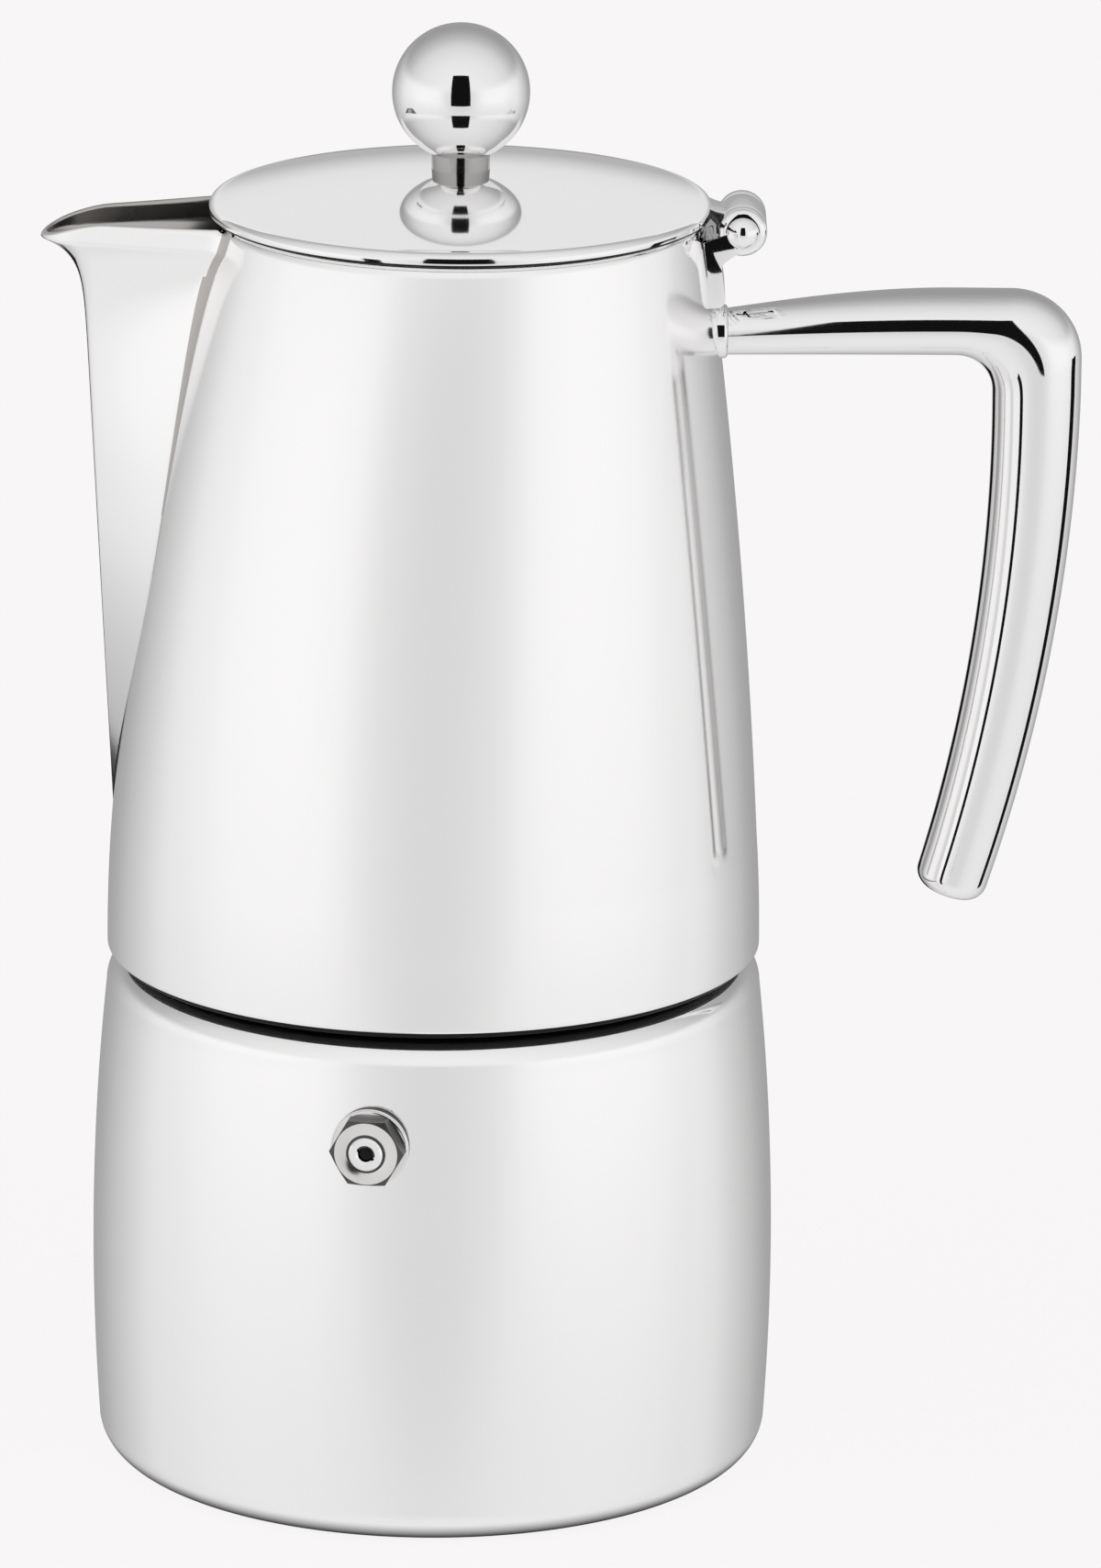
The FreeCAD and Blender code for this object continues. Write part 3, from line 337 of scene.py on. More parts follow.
def carve(piece, tool):
    """Cut a tool out of a piece and drop the tool."""
    cutting = piece.modifiers.new("cut", "BOOLEAN")
    cutting.operation = "DIFFERENCE"
    cutting.solver = "EXACT"
    cutting.object = tool
    bake(piece)
    bpy.data.objects.remove(tool)


def soften(piece):
    """Round off a piece's sharp edges."""
    rounding = piece.modifiers.new("soft_edges", "BEVEL")
    rounding.width = HINGE_SOFTNESS * MM
    rounding.segments = 3
    rounding.limit_method = "ANGLE"
    rounding.angle_limit = math.radians(SOFT_ANGLE)
    bake(piece)


def dress(piece, body, material, slot, *nodes):
    """Finish a piece, let it ride on a body and stand for its solids."""
    piece.data.materials.clear()
    piece.data.materials.append(material)
    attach(piece, body)
    if nodes:
        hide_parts(*nodes)
    return piece


def paint(piece, material, chosen):
    """Give the faces whose middle, in millimetres, is chosen a finish of their own, or a painted shade."""
    piece.data.materials.append(material)
    for face in piece.data.polygons:
        if chosen(face.center / MM):
            face.material_index = len(piece.data.materials) - 1


def repaint(node, material):
    """Give a solid that is shown as it is a finish."""
    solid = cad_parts[node]
    solid.data.materials.clear()
    solid.data.materials.append(material)


# Materials

def new_material(name):
    material = bpy.data.materials.new(name)
    material.use_nodes = True
    return material, material.node_tree


def fill(node, inputs):
    """Give a node's inputs, by name or number, values or links from other nodes' outputs."""
    for key, value in inputs.items():
        if isinstance(value, bpy.types.NodeSocket):
            node.id_data.links.new(value, node.inputs[key])
        else:
            node.inputs[key].default_value = value


def new_node(tree, kind, inputs):
    node = tree.nodes.new("ShaderNode" + kind)
    fill(node, inputs)
    return node


def source(tree, kind, output):
    return new_node(tree, kind, {}).outputs[output]


def noise(tree, place, scale, detail):
    inputs = {"Vector": place, "Scale": scale, "Detail": detail}
    return new_node(tree, "TexNoise", inputs).outputs["Fac"]


def bumped(tree, height, strength, distance):
    """A surface direction that follows a height."""
    inputs = {"Height": height, "Strength": strength, "Distance": distance}
    return new_node(tree, "Bump", inputs).outputs["Normal"]


def steel(name, color, rough_low, rough_high, grain_scale, grain_bump, anisotropy=0.0):
    """Metal whose roughness wanders between two values, with a fine directional grain."""
    material, tree = new_material(name)
    place = source(tree, "TexCoord", "Object")
    spread = new_node(tree, "MapRange", {
        "Value": noise(tree, place, scale=38.0, detail=4.0),
        "From Min": 0.3,
        "From Max": 0.7,
        "To Min": rough_low,
        "To Max": rough_high,
    })
    stretch = new_node(tree, "Mapping", {"Vector": place, "Scale": grain_scale})
    grain = noise(tree, stretch.outputs["Vector"], scale=1.0, detail=3.0)
    fill(tree.nodes["Principled BSDF"], {
        "Metallic": 1.0,
        "Base Color": (*color, 1.0),
        "Anisotropic": anisotropy,
        "Roughness": spread.outputs["Result"],
        "Normal": bumped(tree, grain, grain_bump, distance=0.00002),
    })
    return material


def silicone():
    material, tree = new_material("silicone")
    place = source(tree, "TexCoord", "Object")
    mottle = noise(tree, place, scale=180.0, detail=5.0)
    tint = new_node(tree, "ValToRGB", {"Fac": mottle})
    tint.color_ramp.elements[0].color = (0.66, 0.65, 0.61, 1.0)
    tint.color_ramp.elements[1].color = (0.78, 0.77, 0.73, 1.0)
    fill(tree.nodes["Principled BSDF"], {
        "Roughness": 0.55,
        "Subsurface Weight": 0.15,
        "Subsurface Radius": (0.002, 0.0018, 0.0015),
        "Base Color": tint.outputs["Color"],
        "Normal": bumped(tree, mottle, strength=0.2, distance=0.0001),
    })
    return material


LID_STEEL = steel("lid_steel", (0.93, 0.925, 0.925), 0.05, 0.08, (900, 900, 900), 0.03)
# Painted shade: a dark steel put on chamfers, grooves and flanks where shade falls
PAINTED_SHADE_STEEL = steel("painted_shade_steel", (0.10, 0.098, 0.096), 0.30, 0.45, (300, 300, 5000), 0.35, 0.4)
# Rougher unpolished sheet for the spout's inside; its darker colour is painted shade
SPOUT_INSIDE_SHADE = steel("spout_inside_painted_shade", (0.50, 0.48, 0.465), 0.22, 0.36, (600, 600, 200), 0.30)
# Painted shade: a darker steel for the knob's neck under the ball
NECK_PAINTED_SHADE = steel("knob_neck_painted_shade", (0.42, 0.41, 0.40), 0.10, 0.18, (200, 200, 9000), 0.30)
# Painted shade: near-black steel put in grooves, gaps and holes where shade falls
PAINTED_BLACK_SHADE = steel("painted_black_shade", (0.02, 0.02, 0.02), 0.35, 0.50, (600, 600, 600), 0.2)
BODY_STEEL = steel("body_steel", (0.955, 0.945, 0.943), 0.09, 0.13, (400, 400, 4000), 0.10)
VALVE_STEEL = steel("valve_steel", (0.80, 0.79, 0.785), 0.10, 0.16, (1500, 1500, 1500), 0.15)
MIRROR_STEEL = steel("mirror_steel", (0.93, 0.925, 0.925), 0.025, 0.06, (900, 900, 900), 0.03)
SATIN_STEEL = steel("satin_steel", (0.80, 0.795, 0.79), 0.22, 0.34, (300, 300, 5000), 0.35, 0.4)
SHEET_STEEL = steel("sheet_steel", (0.82, 0.815, 0.81), 0.16, 0.26, (1500, 1500, 1500), 0.25)
BRASS = steel("valve_brass", (0.80, 0.62, 0.33), 0.16, 0.28, (1200, 1200, 4000), 0.3)
SILICONE = silicone()


# Boiler

def boiler_side(height):
    """Radius of the boiler's side at a height."""
    rise = height - BOILER_BELLY
    return BOILER_RADIUS - BOILER_CURVE + math.sqrt(BOILER_CURVE ** 2 - rise ** 2)


def boiler_outline():
    shoulder = BOILER_HEIGHT - BOILER_SHOULDER
    foot_radius = boiler_side(BOILER_FOOT)
    shoulder_radius = boiler_side(shoulder)
    top_radius = shoulder_radius - BOILER_SHOULDER
    outside = lower_corner(foot_radius, 0, BOILER_FOOT, 14)
    outside += arc((foot_radius, BOILER_FOOT), (shoulder_radius, shoulder), BOILER_CURVE, 40)[1:]
    outside += arc((shoulder_radius, shoulder), (top_radius, BOILER_HEIGHT), BOILER_SHOULDER, 14)[1:]
    low = foot_radius - BOILER_WALL
    high = shoulder_radius - BOILER_WALL
    roof = BOILER_HEIGHT - BOILER_WALL
    rounding = BOILER_FOOT - BOILER_FLOOR
    inside = arc((low - rounding, BOILER_FLOOR), (low, BOILER_FOOT), rounding, 8)
    inside += arc((low, BOILER_FOOT), (high, shoulder), BOILER_CURVE - BOILER_WALL, 30)[1:]
    inside += arc((high, shoulder), (top_radius, roof), BOILER_SHOULDER - BOILER_WALL, 8)[1:]
    mouth = [(NECK_BORE, BOILER_HEIGHT), (NECK_BORE, roof)]
    return [(0.0, 0.0), *outside, *mouth, *reversed(inside), (0.0, BOILER_FLOOR)]


def threaded_rings(low, high, crest, depth, rows):
    """Rings of a helical thread between two heights, fading out at both ends."""
    rings = []
    for row in range(rows + 1):
        height = blend(low, high, row / rows)
        fade = min(1.0, (height - low) / THREAD_FADE, (high - height) / THREAD_FADE)
        ring = []
        for step in range(ROUND):
            turn = step / ROUND
            phase = (height - low) / THREAD_PITCH - turn
            ridge = 0.5 + 0.5 * math.cos(2 * math.pi * phase)
            radius = crest - depth * (1 - ridge) * max(fade, 0.0)
            angle = 2 * math.pi * turn
            ring.append((radius * math.cos(angle), radius * math.sin(angle), height))
        rings.append(ring)
    return rings


def boiler_neck():
    low = BOILER_HEIGHT + NECK_FOOT
    rings = [circle_ring(NECK_BORE, BOILER_HEIGHT), circle_ring(NECK_RADIUS, BOILER_HEIGHT)]
    rings += threaded_rings(low, NECK_TOP - NECK_LEAD, NECK_RADIUS, THREAD_DEPTH, rows=60)
    rings += [circle_ring(NECK_RADIUS - NECK_CHAMFER, NECK_TOP), circle_ring(NECK_BORE, NECK_TOP)]
    return skin(rings, loop=True)


boiler = make_object("boiler_polished", lathe(boiler_outline()))
dress(boiler, "boiler", BODY_STEEL, "polished_steel", "boiler_shell")
neck = make_object("boiler_neck_threaded", boiler_neck(), sharp=45)
dress(neck, "boiler", SATIN_STEEL, "satin_steel", "boiler_neck")


# Safety valve, drawn with Z along its axis as the distance from the boiler's axis

VALVE_FRAME = (
    Matrix.Translation((0, 0, VALVE_HEIGHT))
    @ Matrix.Rotation(math.radians(-VALVE_ANGLE), 4, "Z")
    @ Matrix.Rotation(math.radians(90), 4, "X")
)
VALVE_WALL = boiler_side(VALVE_HEIGHT)
FLANGE_BACK = VALVE_WALL + 0.6
FLANGE_FRONT = FLANGE_BACK + 0.9
FLANGE_RADIUS = 5.65
FLANGE_OVERHANG = 0.1
HEX_FRONT = FLANGE_FRONT + 2.6
HEX_FLATS = 9.4
HEX_SINK = 0.2
HEX_FACE = 0.97
HEX_SLOPE = 0.55
VALVE_FRONT = HEX_FRONT + 0.5
VALVE_BACK = FLANGE_BACK - 7.4
VENT_BACK = VALVE_FRONT - 4.4
VENT_RING = 2.45
VENT_BORE = 1.1
VENT_CHAMFER = 0.3
VENT_GROOVE = 0.4
VENT_GROOVE_DEPTH = 0.1
SHANK_RADIUS = 4.0
SHANK_HOLE = 4.05
CHAMBER_RADIUS = 2.6
NUT_FLATS = 12.0
NUT_HEIGHT = 2.8
NUT_GAP = 1.1
SEAT_BORE = 1.2
SEAT_FRONT = VALVE_BACK + 1.2
DISC_BACK = VALVE_BACK + 1.25
DISC_FRONT = DISC_BACK + 1.0
DISC_RADIUS = 2.2
STEM_RADIUS = 1.05
STEM_RECESS = 0.5
SPRING_RADIUS = 1.9
SPRING_WIRE = 0.26
SPRING_LOW = DISC_FRONT + 0.35
SPRING_HIGH = VENT_BACK - 0.3
SPRING_TURNS = 6
SPRING_STEPS = 40
SPRING_EASE = 0.35
WIRE_SIDES = 12


def hex_radius(turn, flats):
    """Radius of a hexagon with a corner at turn zero."""
    part = (turn % (math.pi / 3)) - math.pi / 6
    return flats / 2 / math.cos(part)


def hex_disc(radius, height):
    return circle_ring(radius, height, count=HEX_ROUND)


def hexagon_rings(flats, back, front, chamfered_back):
    """Rings of a nut's outside, chamfered as if turned on a lathe."""
    face = flats / 2 * HEX_FACE

    def ring(height, sign):
        points = []
        for turn in full_turn(HEX_ROUND):
            radius = hex_radius(turn, flats)
            cut = sign * (radius - face) * HEX_SLOPE
            points.append((radius * math.cos(turn), radius * math.sin(turn), height + cut))
        return points

    rings = [hex_disc(face, back), ring(back, 1)] if chamfered_back else [ring(back, 0)]
    return [*rings, ring(front, -1), hex_disc(face, front)]


def valve_hexagon():
    foot = FLANGE_FRONT - HEX_SINK
    edge = VALVE_FRONT - VENT_CHAMFER
    groove = [(VENT_RING + VENT_GROOVE, HEX_FRONT), (VENT_RING, HEX_FRONT - VENT_GROOVE_DEPTH)]
    lip = [(VENT_RING, edge), (VENT_RING - VENT_CHAMFER, VALVE_FRONT)]
    bore = [(VENT_BORE + VENT_CHAMFER, VALVE_FRONT)]
    bore += [(VENT_BORE, height) for height in (edge, VENT_BACK, foot)]
    rings = hexagon_rings(HEX_FLATS, foot, HEX_FRONT, False)
    rings += [hex_disc(radius, height) for radius, height in groove + lip + bore]
    return skin(rings, loop=True)


def valve_flange():
    return lathe(rounded([
        (CHAMBER_RADIUS, VALVE_BACK, 0.2), (SHANK_RADIUS, VALVE_BACK, 0.3),
        (SHANK_RADIUS, FLANGE_BACK, 0.1), (FLANGE_RADIUS, FLANGE_BACK, 0.15),
        (FLANGE_RADIUS, FLANGE_FRONT, 0.35), (VENT_BORE, FLANGE_FRONT, 0.0),
        (VENT_BORE, VENT_BACK, 0.0), (CHAMBER_RADIUS, VENT_BACK, 0.1),
    ]), segments=FINE_ROUND)


def valve_nut():
    back = VALVE_WALL - BOILER_WALL - NUT_GAP - NUT_HEIGHT
    front = back + NUT_HEIGHT
    rings = hexagon_rings(NUT_FLATS, back, front, True)
    rings += [hex_disc(SHANK_HOLE, front), hex_disc(SHANK_HOLE, back)]
    return skin(rings, loop=True)


def valve_washer():
    """Ring between flange and wall, hollowed to the boiler's curve."""
    rim = FLANGE_RADIUS - FLANGE_OVERHANG
    rings = []
    for radius, front in ((SHANK_HOLE, True), (rim, True), (rim, False), (SHANK_HOLE, False)):
        ring = []
        for turn in full_turn(FINE_ROUND):
            x = radius * math.cos(turn)
            y = radius * math.sin(turn)
            wall = boiler_side(VALVE_HEIGHT + y)
            back = math.sqrt(wall * wall - x * x)
            ring.append((x, y, FLANGE_BACK if front else back))
        rings.append(ring)
    return skin(rings, loop=True)


def valve_seat():
    outline = sleeve(SEAT_BORE, CHAMBER_RADIUS, VALVE_BACK, SEAT_FRONT, (0.3, 0.1, 0.1, 0.15))
    return lathe(outline, segments=SMALL_ROUND)


def spring_coil():
    """Round wire wound between the plunger's disc and the chamber's end."""
    steps = SPRING_TURNS * SPRING_STEPS
    rings = []
    for index in range(steps + 1):
        share = index / steps
        angle = 2 * math.pi * SPRING_TURNS * share
        eased = share * share * (3 - 2 * share) * SPRING_EASE + share * (1 - SPRING_EASE)
        height = blend(SPRING_LOW, SPRING_HIGH, eased)
        centre = Vector((SPRING_RADIUS * math.cos(angle), SPRING_RADIUS * math.sin(angle), height))
        outward = Vector((math.cos(angle), math.sin(angle), 0))
        ring = []
        for spin in full_turn(WIRE_SIDES):
            across = outward * (SPRING_WIRE * math.cos(spin))
            along = Vector((0, 0, SPRING_WIRE * math.sin(spin)))
            ring.append(tuple(centre + across + along))
        rings.append(ring)
    return skin(rings, ends=True)


def valve_plunger():
    tip = VALVE_FRONT - STEM_RECESS
    return lathe(rounded([
        (0.0, DISC_BACK, 0.0), (DISC_RADIUS, DISC_BACK, 0.2), (DISC_RADIUS, DISC_FRONT, 0.15),
        (STEM_RADIUS, DISC_FRONT, 0.2), (STEM_RADIUS, tip, 0.4), (0.0, tip, 0.0),
    ]), segments=SMALL_ROUND)


def valve_radius(spot):
    """Distance from the valve's axis."""
    return (VALVE_FRAME.inverted() @ spot).to_2d().length


def valve_piece(name, shape, material, slot, *nodes, sharp=SHARP):
    return dress(make_object(name, shape, sharp, VALVE_FRAME), "boiler", material, slot, *nodes)


def valve():
    valve_piece("valve_flange", valve_flange(), VALVE_STEEL, "polished_steel", "valve_body")
    hexagon = valve_piece("valve_hexagon", valve_hexagon(), VALVE_STEEL, "polished_steel", sharp=20)
    # Painted shade on the hexagon's chamfered sides and in the groove round the vent ring; the mirror ring
    # inside is a real finish
    paint(hexagon, PAINTED_SHADE_STEEL, lambda spot: valve_radius(spot) > HEX_FLATS / 2 * HEX_FACE)
    paint(hexagon, PAINTED_SHADE_STEEL, lambda spot: VENT_RING < valve_radius(spot) < VENT_RING + VENT_GROOVE)
    paint(hexagon, MIRROR_STEEL, lambda spot: valve_radius(spot) < VENT_RING)
    # The washer is near black: painted shade between the valve's flange and the boiler's wall
    valve_piece("valve_washer_curved", valve_washer(), PAINTED_BLACK_SHADE, "polished_steel", "valve_washer")
    valve_piece("valve_nut_chamfered", valve_nut(), BRASS, "valve_fittings", "valve_nut", sharp=20)
    valve_piece("valve_seat_ring", valve_seat(), BRASS, "valve_fittings", "valve_seat")
    coil = valve_piece("valve_spring_coil", spring_coil(), SATIN_STEEL, "satin_steel", "valve_spring")
    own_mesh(coil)
    # The plunger is near black: painted shade in the vent's bore
    plunger = make_object("valve_plunger_turned", valve_plunger(), transform=VALVE_FRAME)
    dress(plunger, "valve_plunger", PAINTED_BLACK_SHADE, "valve_fittings", "valve_plunger")


valve()


# Jug

def skirt_curve_radius(height):
    rise = height - (JUG_BOTTOM + JUG_FOOT)
    return JUG_RADIUS - JUG_SKIRT_CURVE + math.sqrt(JUG_SKIRT_CURVE ** 2 - rise * rise)


SKIRT_RADIUS = skirt_curve_radius(SKIRT_TOP)


def jug_section(height):
    """Shift and radius of the jug's outside at a height."""
    if height <= SKIRT_TOP:
        return 0.0, skirt_curve_radius(height)
    share = (height - SKIRT_TOP) / (JUG_RIM - SKIRT_TOP)
    shift = JUG_RIM_SHIFT * (JUG_EVEN_SHIFT * share + (1 - JUG_EVEN_SHIFT) * share * share)
    radius = blend(SKIRT_RADIUS, JUG_RIM_RADIUS, share) + JUG_BULGE * 4 * share * (1 - share)
    return shift, radius


def wall_x(height):
    """X of the jug's wall on the handle's side."""
    shift, radius = jug_section(height)
    return shift + radius


def jug_ring(height, inset):
    shift, radius = jug_section(height)
    return circle_ring(radius - inset, height, shift)


def jug_shape():
    lip_radius = JUG_RADIUS - JUG_FOOT - JUG_LIP
    groove = JUG_RADIUS - GROOVE_DEPTH
    groove_top = JUG_BOTTOM + GROOVE_HEIGHT
    foot = lower_corner(groove, JUG_BOTTOM, GROOVE_EDGE, 5)
    foot += [(groove, groove_top)]
    foot += lower_corner(JUG_RADIUS, groove_top, GROOVE_EDGE, 6)
    base = JUG_BOTTOM + JUG_WALL
    wall_low = JUG_BOTTOM + JUG_FOOT
    inner_foot = arc((JUG_RADIUS - JUG_FOOT, base), (JUG_RADIUS - JUG_WALL, wall_low), JUG_FOOT - JUG_WALL, 8)
    bead = JUG_WALL / 2
    wall_heights = [blend(wall_low, JUG_RIM - bead, row / JUG_ROWS) for row in range(JUG_ROWS + 1)]
    rings = [circle_ring(lip_radius, JUG_BOTTOM)]
    rings += [circle_ring(radius, height) for radius, height in foot]
    rings += [jug_ring(height, 0.0) for height in wall_heights]
    shift, radius = jug_section(JUG_RIM)
    for step in range(1, BEAD_STEPS):
        turn = math.pi * step / BEAD_STEPS
        height = JUG_RIM - bead + bead * math.sin(turn)
        rings.append(circle_ring(radius - bead + bead * math.cos(turn), height, shift))
    rings += [jug_ring(height, JUG_WALL) for height in reversed(wall_heights[1:])]
    rings += [circle_ring(radius, height) for radius, height in reversed(inner_foot)]
    rings += [circle_ring(lip_radius, base)]
    return skin(rings, loop=True)


# Spout: level sections of a rounded ridge with two straight flanks

def spout_section(height, wall):
    """Middle, radius and half angle of the ridge at a height."""
    share = min((height - SPOUT_FOOT) / (SPOUT_LIP - SPOUT_FOOT), 1.0)
    above = min(height - SPOUT_LIP, 0.0)
    flare = SPOUT_FLARE * math.exp(above / SPOUT_FLARE_LENGTH)
    ridge = SKIRT_RADIUS - SPOUT_SINK + SPOUT_LEAN * share + flare
    radius = SPOUT_RIDGE + (SPOUT_PROW - SPOUT_RIDGE) * math.exp(above / SPOUT_PROW_LENGTH)
    angle = math.radians(blend(SPOUT_FOOT_ANGLE, SPOUT_LIP_ANGLE, max(share, 0.0) ** SPOUT_ANGLE_POWER))
    return radius - ridge, radius - wall, angle


def spout_flank(centre, radius, angle, shift):
    """Start and direction of a flank, as seen from the jug's middle."""
    touch = Vector((centre - radius * math.sin(angle) - shift, radius * math.cos(angle)))
    return touch, Vector((math.cos(angle), math.sin(angle)))


def run_to_circle(start, along, radius):
    """How far a line runs from its start until it enters a circle about the origin."""
    middle = start.dot(along)
    square = middle * middle - start.length_squared + radius * radius
    return max(-middle - math.sqrt(max(square, 0.0)), 0.0)


def spout_point(height, wall, side, share):
    """Point on the spout at a share of the way from its ridge, along a flank and a blend, to the jug."""
    centre, radius, angle = spout_section(height, wall)
    turn_end = math.pi / 2 - angle
    if share <= RIDGE_SHARE:
        turn = turn_end * share / RIDGE_SHARE
        return centre - radius * math.cos(turn), side * radius * math.sin(turn)
    shift, jug_radius = jug_section(min(height, JUG_RIM))
    touch, along = spout_flank(centre, radius, angle, shift)
    blend_radius = SPOUT_BLEND if wall == 0 else 0.0
    sink = SPOUT_OUTER_SINK if wall == 0 else SPOUT_INNER_SINK
    outward = Vector((-along.y, along.x))
    start = touch + outward * blend_radius
    flank_end = touch + along * run_to_circle(start, along, jug_radius - sink + blend_radius)
    flank_share = RIDGE_SHARE + FLANK_SHARE
    if share <= flank_share or blend_radius == 0:
        spot = touch.lerp(flank_end, min((share - RIDGE_SHARE) / FLANK_SHARE, 1.0))
    else:
        corner = flank_end + outward * blend_radius
        first = -outward
        last = -corner.normalized()
        spoke = first.slerp(last, (share - flank_share) / BLEND_SHARE)
        spot = corner + spoke * blend_radius
    return spot.x + shift, side * spot.y


def mouth_height(x):
    """Height of the mouth's edge, which dips towards the tip."""
    tip = -(SKIRT_RADIUS - SPOUT_SINK + SPOUT_LEAN + SPOUT_FLARE)
    into = min(max((tip + SPOUT_DIP - x) / SPOUT_DIP, 0.0), SPOUT_DIP_LIMIT)
    return SPOUT_MOUTH - (SPOUT_MOUTH - SPOUT_LIP) * into ** SPOUT_DIP_POWER


def column_top(wall, side, share):
    """Height at which a column meets the mouth's edge."""
    height = SPOUT_MOUTH
    for _ in range(MOUTH_TRIES):
        x = spout_point(height, wall, side, share)[0]
        height = blend(height, mouth_height(x), 0.5)
    return height


def spout_rings(wall):
    """Rings from one wall of the jug round the ridge to the other."""
    half = [step / SPOUT_COLUMNS for step in range(SPOUT_COLUMNS + 1)]
    columns = [(-1, share) for share in reversed(half[1:])] + [(1, share) for share in half]
    tops = [column_top(wall, side, share) for side, share in columns]
    rings = []
    for row in range(SPOUT_ROWS + 1):
        rise = 1 - (1 - row / SPOUT_ROWS) ** SPOUT_ROW_POWER
        ring = []
        for (side, share), top in zip(columns, tops):
            height = blend(SPOUT_FOOT, top, rise)
            x, y = spout_point(height, wall, side, share)
            ring.append((x, y, height))
        rings.append(ring)
    return rings


def spout_shape():
    """Outside and inside of the spout, joined by a rounded edge at the mouth."""
    outside = spout_rings(0.0)
    inside = spout_rings(SPOUT_WALL)
    edge = []
    for step in range(1, MOUTH_STEPS):
        turn = math.pi * step / MOUTH_STEPS
        ring = []
        for outer, inner in zip(outside[-1], inside[-1]):
            middle = (Vector(outer) + Vector(inner)) / 2
            spoke = (Vector(outer) - Vector(inner)) / 2
            lift = Vector((0, 0, spoke.length * MOUTH_ROUNDNESS * math.sin(turn)))
            ring.append(tuple(middle + spoke * math.cos(turn) + lift))
        edge.append(ring)
    return skin([*outside, *edge, *reversed(inside)], loop=True, closed=False)


def channel_shape():
    """The hollow that the jug's wall is opened by, from its foot to above the rim."""
    heights = [blend(SPOUT_FOOT, SPOUT_LIP, row / CHANNEL_ROWS) for row in range(CHANNEL_ROWS + 1)]
    heights += [SPOUT_LIP + CHANNEL_OVERRUN, JUG_RIM + CHANNEL_OVERRUN]
    rings = []
    for height in heights:
        centre, radius, angle = spout_section(height, SPOUT_WALL)
        shift, jug_radius = jug_section(min(height, JUG_RIM))
        touch, along = spout_flank(centre, radius, angle, shift)
        end = touch + along * (run_to_circle(touch, along, jug_radius) + SPOUT_ROOT)
        ring = [(end.x + shift, end.y, height)]
        for step in range(CHANNEL_STEPS + 1):
            turn = blend(math.pi / 2 - angle, angle - math.pi / 2, step / CHANNEL_STEPS)
            ring.append((centre - radius * math.cos(turn), radius * math.sin(turn), height))
        ring.append((end.x + shift, -end.y, height))
        rings.append(ring)
    return skin(rings, ends=True)


def paint_inside_shade(piece, material):
    """Give the faces that look into the spout a rougher finish, darkened as painted shade."""
    piece.data.materials.append(material)
    for face in piece.data.polygons:
        spot = face.center / MM
        centre = spout_section(spot.z, 0.0)[0]
        outward = Vector((spot.x - centre, spot.y, 0.0))
        if face.normal.dot(outward) < 0:
            face.material_index = 1


jug = make_object("jug_polished", jug_shape())
carve(jug, make_object("spout_channel", channel_shape()))
dress(jug, "jug", BODY_STEEL, "polished_steel", "jug_shell")
# Painted shade: the waist groove and the jug's underside below it are near black
paint(jug, PAINTED_BLACK_SHADE, lambda spot: spot.z < JUG_BOTTOM + GROOVE_HEIGHT + PAINT_MARGIN)
spout = make_object("spout_pressed", spout_shape(), sharp=50)
dress(spout, "jug", BODY_STEEL, "polished_steel", "spout")
# Painted shade inside the spout, on a rougher finish
paint_inside_shade(spout, SPOUT_INSIDE_SHADE)


# Pieces inside the jug and the boiler

def jug_thread_ring():
    low = JUG_BOTTOM + JUG_WALL
    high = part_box("jug_thread_ring")[1][2] / MM
    outside = RING_BORE + RING_WALL
    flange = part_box("jug_thread_ring")[1][0] / MM
    shelf = high - RING_FLANGE
    rings = [circle_ring(flange, high), circle_ring(flange, shelf), circle_ring(outside, shelf)]
    rings += [circle_ring(outside, low), circle_ring(RING_BORE + RING_LEAD, low)]
    rings += threaded_rings(low + RING_MARGIN, high - RING_MARGIN, RING_BORE, -THREAD_DEPTH, rows=70)
    rings += [circle_ring(RING_BORE, high)]
    return skin(rings, loop=True)


ring = make_object("jug_ring_threaded", jug_thread_ring(), sharp=45)
dress(ring, "jug", SATIN_STEEL, "satin_steel", "jug_thread_ring")
JUG_SHEET = ("jug_floor", "riser_tube", "riser_cap", "filter_plate")
FUNNEL_SHEET = ("funnel_basket", "funnel_stem", "funnel_sieve")
for node in JUG_SHEET + FUNNEL_SHEET:
    repaint(node, SHEET_STEEL)
repaint("gasket", SILICONE)


# Lid and knob

def dome_radius(radius, rise):
    return (radius * radius + rise * rise) / (2 * rise)


def lid_outline():
    edge = LID_BOTTOM + LID_EDGE
    bead_radius = LID_RADIUS - LID_BEAD
    dome_foot = edge + LID_BEAD
    outer_curve = dome_radius(bead_radius, LID_CROWN - dome_foot)
    bead = arc((LID_RADIUS, edge), (bead_radius, dome_foot), LID_BEAD, 14)
    dome = arc((bead_radius, dome_foot), (0.0, LID_CROWN), outer_curve, 60)
    seat = LID_RADIUS - LID_SEAT
    shelf = dome_foot - LID_WALL
    crown = LID_CROWN - LID_WALL
    under = arc((seat, shelf), (0.0, crown), dome_radius(seat, crown - shelf), 40)
    lower_edge = lower_corner(LID_RADIUS, LID_BOTTOM, LID_LOWER_EDGE, 5)
    return [*lower_edge, *bead, *dome[1:], *reversed(under), (seat, LID_BOTTOM)]


def knob_outline():
    middle = KNOB_TOP - KNOB_RADIUS
    neck_meets = middle - math.sqrt(KNOB_RADIUS ** 2 - KNOB_NECK ** 2)
    foot = LID_CROWN - KNOB_SINK
    ball = arc((KNOB_NECK, neck_meets), (0.0, KNOB_TOP), KNOB_RADIUS, 90)
    return [(0.0, foot), (KNOB_NECK, foot), *ball]


